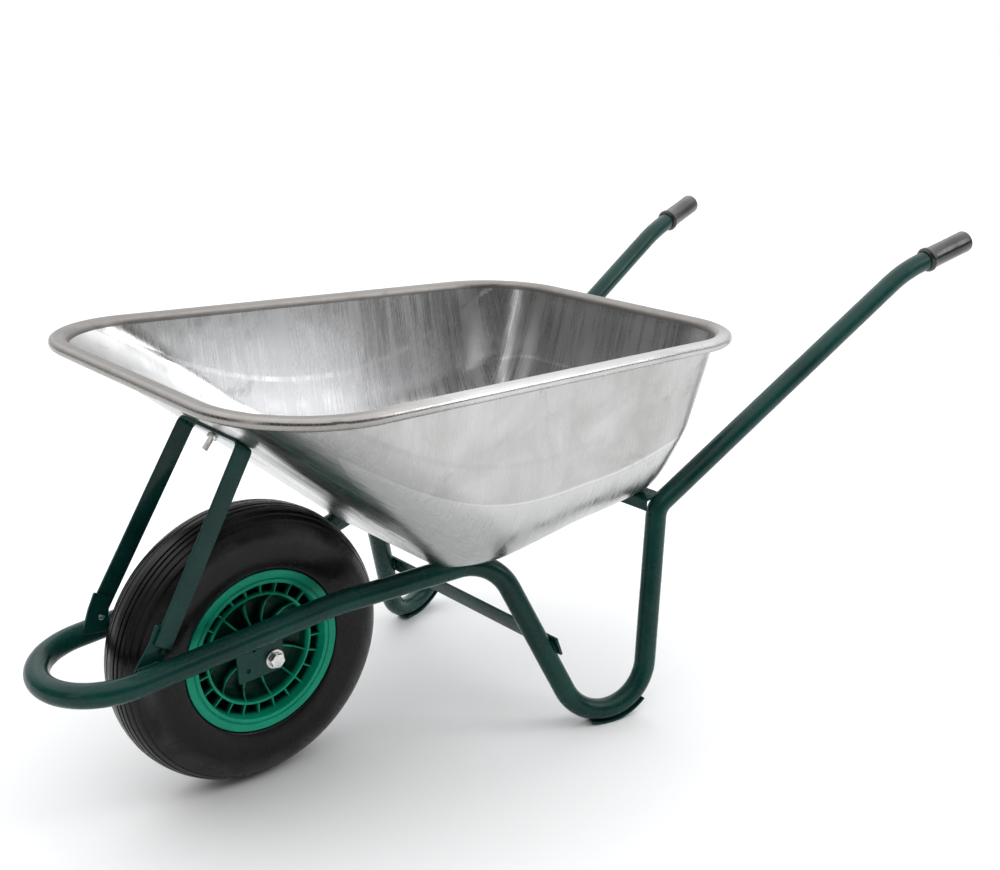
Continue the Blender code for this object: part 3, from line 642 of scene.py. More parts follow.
def steel_look():
    """Galvanised deep-drawn sheet, cloudy, with drawing marks that run up and down its walls, and with painted
    light and shade in its colour.

    The sheet's V says where a point lies: below zero it is under the crease, from zero on it is on the
    wall, from one on it is on the flange, and from two on it is on the rolled bead."""
    look = Look("galvanised_steel", (0.62, 0.63, 0.64), 0.33, 1.0)
    place = look.place()
    height = look.split(look.place(source="UV"), "Y")
    streaks, wide = drawing_marks(look)
    line = above_inner_line(look, place)
    cloud = look.spread(look.noise(place, 8.0, 5.0, 0.6, 0.5), 0.35, 0.65)
    upward = look.spread(look.split(look.node("ShaderNodeTexCoord").outputs["Normal"], "Z"), 0.55, 0.80)
    flange = look.math("MULTIPLY", look.spread(height, 0.9, 1.0), look.spread(height, 1.5, 1.6, 1.0, 0.0))

    # Painted light and shade: separate tones inside and outside, a painted highlight along the crease, and painted
    # light and a painted shadow line on the rim.
    bright = inside_painted_light(look, place, line, wide, cloud, upward)
    base = look.blend(faces_outwards(look), bright, outside_painted_light(look, height, cloud))
    base = look.blend(look.spread(streaks, 0.56, 0.80, 0.0, 0.16), base, (0.36, 0.36, 0.36))
    base = look.blend(crease_highlight(look, height), base, (0.86, 0.86, 0.86))
    base = rim_painted_light(look, place, height, cloud, flange, base)
    smudge = look.spread(look.noise(place, 14.0, 6.0, 0.7, 0.8), 0.60, 0.74, 0.0, 0.50)
    look.colour(look.blend(smudge, base, (0.25, 0.245, 0.235)))

    brushed = look.spread(streaks, 0.35, 0.7, 0.0, 0.14)
    rough = look.math("ADD", look.spread(wide, 0.3, 0.7, 0.15, 0.30), brushed)
    rough = look.math("ADD", rough, look.math("MULTIPLY", look.math("MAXIMUM", flange, upward), 0.16))
    look.roughness(look.math("ADD", rough, look.math("MULTIPLY", smudge, 0.22)))
    look.bump(look.noise(place, 11.0, 2.0, 0.5), 0.0022)
    look.bump(look.spread(line, -0.004, 0.004), 0.0008)
    look.bump(wide, 0.00045)
    look.bump(streaks, 0.00004)
    look.bump(look.noise(place, 240.0, 3.0), 0.00002)
    return look.material


def outside_painted_light(look, height, cloud):
    """Dull above the crease and paler under it, where light is painted on."""
    dull = look.blend(cloud, (0.38, 0.38, 0.37), (0.50, 0.50, 0.495))
    under = look.spread(height, -0.006, 0.001, 1.0, 0.0)
    return look.blend(look.math("MULTIPLY", under, 0.70), dull, (0.62, 0.622, 0.62))


def inside_painted_light(look, place, line, wide, cloud, upward):
    """Painted light and shade on the inside: dark at the rear, bright amidships, paler under the press line, dull
    in front and where it faces up.
    """
    forward = look.spread(look.split(place, "X"), -0.22, -0.04)
    tone = look.blend(forward, (0.30, 0.30, 0.30), (0.95, 0.955, 0.96))
    tone = look.blend(look.spread(cloud, 0.0, 1.0, 0.10, 0.0), tone, (0.40, 0.40, 0.40))
    low = look.blend(forward, (0.46, 0.46, 0.46), (0.94, 0.94, 0.95))
    tone = look.blend(look.spread(line, -0.003, 0.001, 0.75, 0.0), tone, low)
    front = look.math("ADD", look.split(place, "X"), look.spread(wide, 0.2, 0.8, -0.05, 0.05))
    tone = look.blend(look.spread(front, 0.37, 0.45, 0.0, 0.85), tone, (0.58, 0.58, 0.57))
    return look.blend(upward, tone, look.blend(cloud, (0.33, 0.33, 0.325), (0.46, 0.46, 0.455)))


def crease_highlight(look, height):
    """A thin painted highlight along the crease."""
    rise = look.spread(height, -0.004, 0.0, 0.0, 1.0)
    edge = look.math("SUBTRACT", rise, look.spread(height, 0.0, 0.006, 0.0, 1.0))
    return look.spread(edge, 0.2, 1.0, 0.0, 0.5)


def rim_painted_light(look, place, height, cloud, flange, base):
    """The flange and the rolled bead, with painted light making them paler along the left side, and a painted
    shadow line under the bead.
    """
    left = look.spread(look.split(place, "Y"), 0.20, 0.29)
    left = look.math("MULTIPLY", left, look.spread(look.split(place, "X"), 0.36, 0.50, 1.0, 0.0))
    pale = look.blend(cloud, (0.42, 0.415, 0.41), (0.54, 0.54, 0.535))
    bead = look.blend(left, (0.30, 0.285, 0.27), pale)
    base = look.blend(look.spread(height, 1.6, 1.7), base, bead)
    rim = look.blend(left, (0.205, 0.190, 0.175), (0.52, 0.515, 0.51))
    base = look.blend(look.math("MULTIPLY", flange, 0.85), base, rim)
    # Painted shadow: the underside of the bead's curl is darkened.
    return look.blend(look.spread(height, 2.0131, 2.0134, 0.0, 0.85), base, (0.10, 0.10, 0.095))


def above_inner_line(look, place):
    """Height above the curved line that the press left on the side walls, lowest ahead of the middle."""
    ahead = look.math("SUBTRACT", look.split(place, "X"), LINE_FORWARD)
    line = look.math("MULTIPLY_ADD", look.math("MULTIPLY", ahead, ahead), LINE_CURVE, LINE_HEIGHT)
    return look.math("SUBTRACT", look.split(place, "Z"), line)


def faces_outwards(look):
    """1 on the outside of the tray, which is duller, and 0 on its inside, for their separate painted light and
    shade.
    """
    coordinates = look.node("ShaderNodeTexCoord")
    away = look.node("ShaderNodeMapping")
    away.inputs["Scale"].default_value = (1.0, 1.0, 0.0)
    away.inputs["Location"].default_value = (-AXLE.x - (FLOOR_FRONT + FLOOR_REAR) / 2, 0.0, 0.0)
    look.link(coordinates.outputs["Object"], away.inputs["Vector"])
    facing = look.node("ShaderNodeVectorMath", operation="DOT_PRODUCT")
    look.link(coordinates.outputs["Normal"], facing.inputs[0])
    look.link(away.outputs["Vector"], facing.inputs[1])
    return look.spread(facing.outputs["Value"], -0.01, 0.01)


def drawing_marks(look):
    """Fine and broad marks along Z, laid out along X on the side walls and along Y on the end walls."""
    coordinates = look.node("ShaderNodeTexCoord")
    sideways = look.math("ABSOLUTE", look.split(coordinates.outputs["Normal"], "Y"), 0.0)
    on_side = look.spread(sideways, 0.55, 0.80)
    found = []
    for across, along, detail in ((300.0, 7.0, 6.0), (38.0, 3.0, 4.0)):
        side_marks = look.noise(look.place((across, 0.0, along)), 1.0, detail, 0.65)
        end_marks = look.noise(look.place((0.0, across, along)), 1.0, detail, 0.65)
        found.append(look.mixed(on_side, end_marks, side_marks))
    return found


def zinc_look():
    """Bright zinc plating with fine handling marks."""
    look = Look("zinc_plate", (0.72, 0.71, 0.68), 0.28, 1.0)
    place = look.place()
    cloud = look.spread(look.noise(place, 120.0, 4.0), 0.3, 0.7)
    look.colour(look.blend(cloud, (0.60, 0.59, 0.56), (0.80, 0.79, 0.77)))
    look.roughness(look.spread(look.noise(place, 400.0, 4.0), 0.3, 0.7, 0.20, 0.42))
    look.bump(look.noise(place, 900.0, 2.0), 0.00003)
    return look.material


def plastic_look():
    """Emerald moulded plastic, clean on its faces, with painted shade that darkens it deep between the ribs."""
    look = Look("green_plastic", (0.004, 0.300, 0.175), 0.34)
    look.shader.inputs["Specular IOR Level"].default_value = 0.18
    place = look.place()
    cloud = look.spread(look.noise(place, 22.0, 4.0), 0.3, 0.7)
    base = look.blend(cloud, (0.002, 0.265, 0.155), (0.005, 0.355, 0.215))
    # Painted shade: the deeper a point lies between the ribs, below the faces near the hub and near the rim, the
    # darker it is painted.
    radius = look.distance(look.place((1.0, 0.0, 1.0)), AXLE)
    by_hub = look.spread(radius, 0.0215, 0.0450, 0.0370, 0.0200)
    by_rim = look.spread(radius, 0.0580, 0.0780, 0.0200, 0.0350)
    face = look.math("MAXIMUM", by_hub, by_rim)
    height = look.math("ABSOLUTE", look.split(place, "Y"), 0.0)
    uneven = look.math("ADD", height, look.spread(look.noise(place, 60.0, 4.0), 0.3, 0.7, -0.001, 0.001))
    recess_shade = look.spread(look.math("SUBTRACT", face, uneven), 0.0010, 0.0075, 0.0, 0.96)
    look.colour(look.blend(recess_shade, base, (0.0015, 0.022, 0.014)))
    look.roughness(look.spread(look.noise(place, 90.0, 4.0), 0.3, 0.7, 0.26, 0.42))
    look.bump(look.noise(place, 700.0, 2.0), 0.00004)
    look.bump(look.noise(place, 45.0, 2.0), 0.00025)
    return look.material


def tyre_look():
    """Black rubber with a dusty bloom, a painted highlight ring high on the sidewall, and a fine grain."""
    look = Look("tyre_rubber", (0.008, 0.008, 0.008), 0.30)
    look.shader.inputs["Specular IOR Level"].default_value = 0.20
    place = look.place()
    cloud = look.spread(look.noise(place, 14.0, 5.0, 0.6), 0.35, 0.7)
    base = look.blend(cloud, (0.0045, 0.0045, 0.0045), (0.0085, 0.0082, 0.0080))
    # Painted highlight: a paler cloudy ring high on the sidewall, about 0.170 from the axle.
    radius = look.distance(look.place((1.0, 0.0, 1.0)), (AXLE.x, 0.0, AXLE.z))
    off_shoulder = look.math("ABSOLUTE", look.math("SUBTRACT", radius, 0.170), 0.0)
    shoulder_highlight = look.math("MULTIPLY", look.spread(off_shoulder, 0.002, 0.016, 1.0, 0.0), cloud)
    base = look.blend(look.math("MULTIPLY", shoulder_highlight, 0.9), base, (0.052, 0.051, 0.050))
    dust = look.spread(look.noise(place, 70.0, 6.0, 0.7), 0.62, 0.78, 0.0, 0.30)
    look.colour(look.blend(dust, base, (0.045, 0.040, 0.035)))
    look.roughness(look.spread(look.noise(place, 40.0, 4.0), 0.3, 0.7, 0.22, 0.38))
    look.bump(look.noise(place, 900.0, 2.0), 0.00004)
    look.bump(look.noise(place, 30.0, 2.0), 0.00040)
    return look.material


def black_look(name, colour, roughness, grain):
    """Black rubber or plastic with a fine grain."""
    look = Look(name, (colour, colour, colour), roughness)
    place = look.place()
    cloud = look.spread(look.noise(place, 60.0, 4.0), 0.3, 0.7)
    look.colour(look.blend(cloud, (colour * 0.8,) * 3, (colour * 1.3,) * 3))
    look.roughness(look.spread(look.noise(place, 150.0, 3.0), 0.3, 0.7, roughness - 0.05, roughness + 0.08))
    look.bump(look.noise(place, 800.0, 2.0), grain)
    return look.material


LOOKS = {
    "green_paint": paint_look(),
    "galvanised_steel": steel_look(),
    "zinc_plate": zinc_look(),
    "green_plastic": plastic_look(),
    "tyre_rubber": tyre_look(),
    "tube_rubber": black_look("tube_rubber", 0.020, 0.50, 0.00003),
    "cap_plastic": black_look("cap_plastic", 0.016, 0.42, 0.00002),
    "grip_plastic": black_look("grip_plastic", 0.016, 0.20, 0.00002),
}


# ---------------------------------------------------------------- frame


def side_path(steps=24):
    """The centre line of the left frame tube, from the middle of the nose to the end of the handle."""
    centre = NOSE_REACH - FORK_HALF
    rise = (SIDE_POINTS[0][2] - NOSE_HEIGHT) / (SIDE_POINTS[0][0] - NOSE_REACH)
    nose = []
    for index in range(steps):
        angle = math.pi / 2 * index / steps
        forward = centre + FORK_HALF * math.cos(angle)
        height = NOSE_HEIGHT + rise * (forward - NOSE_REACH)
        nose.append(at_axle(forward, FORK_HALF * math.sin(angle), height))
    corner = at_axle(centre, FORK_HALF, NOSE_HEIGHT + rise * (centre - NOSE_REACH))
    corners = [corner] + [at_axle(*point[:3]) for point in SIDE_POINTS] + [at_axle(*TUBE_END)]
    return nose + rounded_path(corners, [point[3] for point in SIDE_POINTS], steps)


def build_tubes():
    shape = tube_shape(side_path(), TUBE_RADIUS, TUBE_RADIUS - TUBE_WALL, TUBE_SIDES, first_tangent=LEFT)
    for side, name in SIDES:
        piece("tube_" + name, handed(shape, side), "green_paint", "frame_tube_" + name, smooth=60.0)


def build_foot_plates():
    path = side_path(steps=60)
    lowest = min(range(len(path)), key=lambda index: path[index].z)
    line = path[lowest - 12 : lowest + 29]
    along = tangents(line)
    across = [direction.cross(UP).normalized() for direction in along]
    reach = TUBE_RADIUS + GAP + FOOT_PLATE_THICKNESS / 2
    line = [
        point - side.cross(direction).normalized() * reach
        for point, side, direction in zip(line, across, along)
    ]
    shape = bar_shape(line, across, FOOT_PLATE_WIDTH, FOOT_PLATE_THICKNESS)
    for side, name in SIDES:
        piece("foot_wear_plate_" + name, handed(shape, side), "green_paint", "foot_plate_" + name)


def fork_plate(name, node, side, outline, holes):
    """A plate inside the fork, given by its outline and its (forward, height, radius) holes."""
    shape = plate_shape(outline, side * BRACKET_INNER, side * BRACKET_OUTER)
    plate = piece(name, shape, "green_paint", node)
    middle = side * (BRACKET_INNER + PLATE / 2)
    cutters = [cylinder_shape(at_axle(x, middle, z), LEFT, radius, 0.02) for x, z, radius in holes]
    boolean(plate, merged(cutters), "DIFFERENCE")


def build_brackets():
    outline = [
        (0.0568, 0.250),
        (-0.0150, 0.254),
        (-0.0150, 0.190),
        (-0.0080, 0.1815),
        (0.0541, 0.1790),
    ]
    holes = [(0.0, TYRE_RADIUS, AXLE_RADIUS + 0.0005), (0.0400, 0.1950, 0.0035), (0.0295, 0.2229, 0.0035)]
    for side, name in SIDES:
        fork_plate("wheel_bracket_" + name, "axle_bracket_" + name, side, outline, holes)


def build_tabs():
    """The plates that the strap's feet stand against. The right one leans further forward."""
    for side, name in SIDES:
        lean = 0.0 if side > 0 else RIGHT_LEAN
        outline = [
            (0.1964 + lean * 0.3, 0.2490),
            (0.1605 + lean * 0.5, 0.2440),
            (0.1400 + lean, 0.2900),
            (0.1610 + lean, 0.3030),
            (0.1721 + lean, 0.2810),
        ]
        hole = (0.1590 + lean * 0.8, 0.2665, BOLT_HOLE)
        fork_plate("tab_" + name, "strap_tab_" + name, side, outline, [hole])


def front_wall_point(forward):
    """The middle of the tray's sheet on the front wall, in the centre plane."""
    low = at_axle(WALL_FRONT, 0.0, WALL_HEIGHT)
    high = at_axle(RIM_FRONT - WALL_INSET, 0.0, rim_height(RIM_FRONT - WALL_INSET) - WALL_DROP)
    return low.lerp(high, (AXLE.x + forward - low.x) / (high.x - low.x))


def ramp_direction():
    return (front_wall_point(0.1) - front_wall_point(0.0)).normalized()


def wall_normal():
    """The direction out of the tray's front wall, down and forward."""
    ramp = ramp_direction()
    return Vector((ramp.z, 0.0, -ramp.x))


def strap_path():
    """The strap's middle line from foot to foot, the direction up each leg, and the middle of its top."""
    middle = front_wall_point(STRAP_TOP) + wall_normal() * (SHEET / 2 + GAP + PLATE / 2)
    feet = [
        at_axle(STRAP_FOOT[0], STRAP_HALF, STRAP_FOOT[1]),
        at_axle(STRAP_FOOT[0] + RIGHT_LEAN, -STRAP_HALF, STRAP_FOOT[1]),
    ]
    tops = [Vector((middle.x, side * STRAP_HALF, middle.z)) for side in (1, -1)]
    path = rounded_path([feet[0], tops[0], tops[1], feet[1]], [0.008, 0.008], 12)
    return path, [(top - foot).normalized() for foot, top in zip(feet, tops)], middle


def build_strap():
    path, legs, middle = strap_path()
    across = []
    for point, direction in zip(path, tangents(path)):
        leg = legs[0] if point.y > 0 else legs[1]
        upright = Vector((leg.z, 0.0, -leg.x))
        across.append(upright.lerp(ramp_direction(), abs(direction.y)))
    shape = bar_shape(path, across, BAR_WIDTH, PLATE)
    strap = piece("tray_strap", shape, "green_paint", "front_strap")
    boolean(strap, cylinder_shape(middle, wall_normal(), BOLT_HOLE, 0.03), "DIFFERENCE")


def leg_line():
    """The front leg's straight, from its top corner to its foot corner."""
    return at_axle(*SIDE_POINTS[1][:3]), at_axle(*SIDE_POINTS[2][:3])


def build_brace():
    top, foot = leg_line()
    leg = Vector((foot.x - top.x, 0.0, foot.z - top.z)).normalized()
    back = Vector((leg.z, 0.0, -leg.x))
    share = (top.z - BRACE_HEIGHT) / (top.z - foot.z)
    middle = top.lerp(foot, share) + back * (TUBE_RADIUS + GAP + PLATE / 2)
    path = [Vector((middle.x, side * BRACE_HALF, middle.z)) for side in (-1, 1)]
    shape = bar_shape(resampled(path, 8), [leg] * 9, BRACE_WIDTH, PLATE)
    piece("cross_brace", shape, "green_paint", "leg_brace")


def build_crossmember():
    front, rear = CROSSMEMBER_FRONT, CROSSMEMBER_REAR
    inner_front = front - CROSSMEMBER_THICKNESS
    top_front = floor_height(front) - SHEET / 2 - GAP
    top_rear = floor_height(rear) - SHEET / 2 - GAP
    outline = [
        (front, top_front),
        (rear, top_rear),
        (rear, top_rear - CROSSMEMBER_THICKNESS),
        (inner_front, top_front - CROSSMEMBER_THICKNESS),
        (inner_front, top_front - CROSSMEMBER_DROP),
        (front, top_front - CROSSMEMBER_DROP),
    ]
    outline = rounded_loop(outline, 0.0009)
    points = [at_axle(x, side * CROSSMEMBER_HALF, z) for side in (-1, 1) for x, z in outline]
    shape = points, strip_faces(2, len(outline))
    member = piece("tray_bearer", shape, "green_paint", "rear_crossmember")
    line = side_path()
    tube = swept(line, [TUBE_RADIUS + GAP] * len(line), TUBE_SIDES, LEFT)
    for cutter in (*rear_bolt_holes(), tube, handed(tube, -1)):
        boolean(member, cutter, "DIFFERENCE")


def tube_point(forward):
    """The left tube's centre at a distance forward of the axle, on the run beside the wheel."""
    path = side_path()
    for before, after in zip(path, path[1:]):
        if before.x >= AXLE.x + forward >= after.x and before.y > FORK_HALF * 0.9:
            return before.lerp(after, (before.x - AXLE.x - forward) / max(before.x - after.x, 1e-9))
    raise ValueError("no tube there")


def fork_bead(places, lift):
    """A weld line on the inside of the left tube beside the wheel, above or below its centre."""
    offset = Vector((0.0, BRACKET_OUTER + 0.0010 - FORK_HALF, lift))
    return [tube_point(forward) + offset for forward in places]


def brace_bead(turn):
    """A weld line down the left leg, on the inner or the outer side of its touch with the brace."""
    top, low = leg_line()
    spot = top.lerp(low, (top.z - BRACE_HEIGHT) / (top.z - low.z))
    back = Vector((low.z - top.z, 0.0, top.x - low.x)).normalized()
    down = (low - top).normalized()
    return [spot + back * 0.0145 + LEFT * (turn * 0.0085) + down * step for step in (-0.011, 0.0, 0.011)]


def strap_bead(side):
    """A weld line along one foot of the strap, against its tab."""
    path, legs, _ = strap_path()
    foot, leg = (path[0], legs[0]) if side > 0 else (path[-1], legs[1])
    across = Vector((leg.z, 0.0, -leg.x))
    corner = foot - LEFT * (side * (PLATE / 2 + 0.0002)) - leg * 0.0006
    return [corner + across * reach for reach in (-0.0108, 0.0, 0.0108)]


def bearer_bead(side):
    """A weld line down one end of the bearer, where it meets the tube."""
    forward, left = CROSSMEMBER_FRONT + 0.0006, side * (CROSSMEMBER_HALF + 0.0008)
    top = floor_height(CROSSMEMBER_FRONT) - SHEET / 2 - GAP
    return [at_axle(forward, left, top - drop) for drop in (0.003, 0.015, CROSSMEMBER_DROP - 0.002)]


def build_welds():
    """The beads that hold the brackets, tabs, brace, strap and bearer."""
    beads = {
        "bracket_weld": (fork_bead((0.054, 0.02, -0.013), -0.0110), 0.0021),
        "tab_weld": (fork_bead((0.193, 0.178, 0.163), 0.0110), 0.0021),
        "brace_weld_in": (brace_bead(-1), 0.0020),
        "brace_weld_out": (brace_bead(1), 0.0020),
    }
    for name, (line, radius) in beads.items():
        for side, hand in SIDES:
            shape = weld_shape(line if side > 0 else mirrored(line), radius, seed=3.0 * side)
            piece(f"{name}_{hand}", shape, "green_paint", smooth=60.0)
    for name, bead, radius in (("strap_weld_", strap_bead, 0.0018), ("bearer_weld_", bearer_bead, 0.0020)):
        for side, hand in SIDES:
            piece(name + hand, weld_shape(bead(side), radius, side), "green_paint", smooth=60.0)


# ---------------------------------------------------------------- tray


def rim_height(forward):
    """Height of the middle of the rolled rim at a distance forward of the axle."""
    return RIM_HEIGHT + RIM_SLOPE * (forward - RIM_FRONT)


def floor_height(forward):
    """Height of the middle of the floor's sheet at a distance forward of the axle."""
    return FLOOR_HEIGHT + FLOOR_SLOPE * (forward - FLOOR_FRONT)


def floor_normal():
    """The direction down out of the tray's floor."""
    return Vector((FLOOR_SLOPE, 0.0, -1.0)).normalized()


def rear_bolt_point(side):
    return at_axle(REAR_BOLT_X, side * REAR_BOLT_Y, floor_height(REAR_BOLT_X))


def rear_bolt_holes():
    return [cylinder_shape(rear_bolt_point(side), floor_normal(), BOLT_HOLE, 0.03) for side in (1, -1)]


def plan_ring(front, rear, half_front, half_rear, radius_front, radius_rear, height):
    """A closed ring round the tray, anticlockwise from above, with the same number of points on each."""
    corners = [
        (front, half_front, radius_front, 0.0),
        (rear, half_rear, radius_rear, 90.0),
        (rear, -half_rear, radius_rear, 180.0),
        (front, -half_front, radius_front, 270.0),
    ]
    arcs = []
    for forward, left, radius, first in corners:
        centre_x = forward - math.copysign(radius, forward - (front + rear) / 2)
        centre_y = left - math.copysign(radius, left)
        arc = []
        for index in range(CORNER_STEPS + 1):
            angle = math.radians(first + 90.0 * index / CORNER_STEPS)
            arc.append((centre_x + radius * math.cos(angle), centre_y + radius * math.sin(angle)))
        arcs.append(arc)
    ring = []
    for arc, following, count in zip(arcs, arcs[1:] + arcs[:1], RUN_STEPS):
        ring += arc
        start, end = arc[-1], following[0]
        for index in range(1, count):
            share = index / count
            ring.append(tuple(a + (b - a) * share for a, b in zip(start, end)))
    return [at_axle(x, y, height(x)) for x, y in ring]


def frontness():
    """For each point of a ring: 1 on the front wall, 0 on the sides and the rear, between on a corner."""
    shares = []
    for part in range(4):
        for index in range(CORNER_STEPS + 1):
            turn = index / CORNER_STEPS
            shares.append({0: 1 - turn, 3: turn}.get(part, 0.0))
        shares += [1.0 if part == 3 else 0.0] * (RUN_STEPS[part] - 1)
    return shares


def rim_section(outset, lift):
    """A ring that follows the rim's edge, moved outwards and up."""
    return plan_ring(
        RIM_FRONT + outset,
        RIM_REAR - outset,
        RIM_HALF_FRONT + outset,
        RIM_HALF_REAR + outset,
        RIM_CORNER_FRONT + outset,
        RIM_CORNER_REAR + outset,
        lambda forward: rim_height(forward) + lift,
    )


def smooth_step(value, low, high):
    """0 up to low, 1 from high on, and a smooth rise between them."""
    share = min(max((value - low) / (high - low), 0.0), 1.0)
    return share * share * (3 - 2 * share)


def crease_height(forward):
    """Height of the side walls' crease at a distance forward of the axle. It is level amidships."""
    ahead = max(0.0, forward - CREASE_FRONT)
    behind = max(0.0, CREASE_REAR - forward)
    return CREASE_HEIGHT + 1.1 * ahead**2 + 0.76 * behind**2


def crease_share(foot, top):
    """How far up the wall from its foot to its top the crease lies."""
    low, high = 0.05, 0.90
    for _ in range(20):
        middle = (low + high) / 2
        point = foot.lerp(top, middle)
        if point.z < crease_height(point.x - AXLE.x):
            low = middle
        else:
            high = middle
    return low


def wall_column(low, level, high, front):
    """One line up the tray: a curve from the floor's edge to the crease, then the straight wall's top."""
    foot = level + (level - high) * ((level.z - low.z) / (high.z - level.z))
    share = crease_share(foot, high)
    share += (FRONT_CREASE_SHARE - share) * smooth_step(front, 0.3, 0.8)
    crease = foot.lerp(high, share)
    kink = CREASE_KINK * (1 - smooth_step(front, 0.2, 0.7))
    pull = foot + (low - foot).normalized() * kink
    fullness = 1 + 0.9 * (1 - smooth_step(low.x - AXLE.x, -0.58, -0.40))
    column = []
    for index in range(CURVE_STEPS):
        t = index / CURVE_STEPS
        weights = ((1 - t) ** 2, 2 * fullness * t * (1 - t), t**2)
        column.append((low * weights[0] + pull * weights[1] + crease * weights[2]) / sum(weights))
    return column + [crease.lerp(high, index / WALL_STEPS) for index in range(WALL_STEPS + 1)]


def tray_rings():
    """Rings of the tray's sheet from the floor's edge, up the walls, over the flange and round the bead."""
    floor = plan_ring(
        FLOOR_FRONT, FLOOR_REAR, FLOOR_HALF, FLOOR_HALF, FLOOR_CORNER, FLOOR_CORNER, floor_height
    )
    level = plan_ring(
        WALL_FRONT,
        WALL_REAR,
        WALL_HALF_FRONT,
        WALL_HALF_REAR,
        WALL_CORNER_FRONT,
        WALL_CORNER_REAR,
        lambda forward: WALL_HEIGHT,
    )
    top = rim_section(-WALL_INSET, -WALL_DROP)
    columns = [wall_column(*places) for places in zip(floor, level, top, frontness())]
    rings = [list(ring) for ring in zip(*columns)]
    for inset, lift in ((0.0246, -0.0012), (0.0238, 0.0014), (0.0224, 0.0038), (0.0206, 0.0056)):
        rings.append(rim_section(-inset, lift))
    rings.append(rim_section(-0.0182, BEAD_RADIUS))
    for degrees in range(90, -166, -15):
        angle = math.radians(degrees)
        rings.append(rim_section(BEAD_RADIUS * (math.cos(angle) - 1), BEAD_RADIUS * math.sin(angle)))
    return rings, CURVE_STEPS + WALL_STEPS


def dented(rings, top_ring):
    """The rings with the sheet's slow waves, which fade out at the floor and under the rim."""
    centre = Vector((sum(point.x for point in rings[0]) / len(rings[0]), 0.0, 0.45))
    for number, ring in enumerate(rings[: top_ring + 1]):
        fade = math.sin(math.pi * number / top_ring)
        for index, point in enumerate(ring):
            wave = noise.noise(point * 9.0) * 0.0011 + noise.noise(point * 23.0) * 0.0004
            outwards = Vector((point.x - centre.x, point.y, 0.0)).normalized()
            ring[index] = point + outwards * (wave * fade)
    return rings


def build_tray():
    """The sheet from its mid surface: ringed, dented, thickened and drilled."""
    rings, top_ring = tray_rings()
    rings = dented(rings, top_ring)
    count = len(rings[0])
    points = [point for ring in rings for point in ring]
    faces = strip_faces(len(rings), count, closed_ends=False)
    faces.append(list(reversed(range(count))))
    tray = mesh_object("tray_sheet", (points, faces))
    tray.data.materials.append(LOOKS["galvanised_steel"])
    unwrap_tray(tray.data, rings, CURVE_STEPS, top_ring, top_ring + FLANGE_RINGS)
    thickness = tray.modifiers.new("Sheet", "SOLIDIFY")
    thickness.thickness = SHEET
    thickness.offset = 0.0
    thickness.use_even_offset = True
    keep_modifiers(tray)
    front_hole = cylinder_shape(front_wall_point(STRAP_TOP), wall_normal(), BOLT_HOLE, 0.02)
    boolean(tray, merged([*rear_bolt_holes(), front_hole]), "DIFFERENCE", 24.0)
    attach(tray, "frame")
    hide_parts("tray")


def unwrap_tray(mesh, rings, crease_ring, top_ring, bead_ring):
    """U runs round the tray in metres, and V up it from the crease, as the steel's material says."""
    count = len(rings[0])
    around = [0.0]
    for before, after in zip(rings[crease_ring], rings[crease_ring][1:] + rings[crease_ring][:1]):
        around.append(around[-1] + (after - before).length)
    starts = [crease_ring, top_ring, bead_ring, len(rings)]
    layer = mesh.uv_layers.new(name="UVMap")
    for polygon in mesh.polygons:
        ring = min(polygon.vertices) // count
        zone = sum(ring >= start for start in starts[1:])
        columns = [vertex % count for vertex in polygon.vertices]
        closes = len(columns) == 4 and min(columns) == 0 and max(columns) == count - 1
        for loop, vertex in zip(polygon.loop_indices, polygon.vertices):
            column = vertex % count
            point, origin = mesh.vertices[vertex].co, rings[starts[zone]][column]
            below = -1 if vertex // count < crease_ring else 1
            u = around[count if closes and column == 0 else column]
            layer.data[loop].uv = (u, zone + below * (point - origin).length)


def build_tray_bolts():
    """Cup-head bolts from inside the tray, each with a nut under its bar."""
    under_front = SHEET + GAP + PLATE
    under_rear = SHEET + GAP + CROSSMEMBER_THICKNESS
    places = [
        ("front", front_wall_point(STRAP_TOP), wall_normal(), under_front, 0.030),
        ("rear_left", rear_bolt_point(1), floor_normal(), under_rear, 0.022),
        ("rear_right", rear_bolt_point(-1), floor_normal(), under_rear, 0.022),
    ]
    for name, place, down, stack, length in places:
        seat = -SHEET / 2 - 2 * GAP
        turns = [math.pi / 2 * step / 8 for step in range(9)]
        dome = [(CUP_RADIUS * math.sin(angle), seat - CUP_HEIGHT * math.cos(angle)) for angle in turns]
        shank = [(BOLT_RADIUS, seat), (BOLT_RADIUS, seat + PLAIN_SHANK)]
        shank += thread_profile(BOLT_RADIUS, seat + PLAIN_SHANK, seat + length)
        profile = [(0.0, dome[0][1])] + dome[1:] + shank + [(0.0, seat + length)]
        bolt = lathe_shape(profile, place, down, 40)
        piece("cup_bolt_" + name, bolt, "zinc_plate", "tray_bolt_" + name, smooth=30.0)
        middle = place + down * (-SHEET / 2 + stack + 3 * GAP + 0.0033)
        nut = nut_shape(middle, down, 0.0130, 0.0042, 0.0065)
        piece("hex_nut_" + name, nut, "zinc_plate", "tray_nut_" + name, smooth=30.0)


# ---------------------------------------------------------------- grips


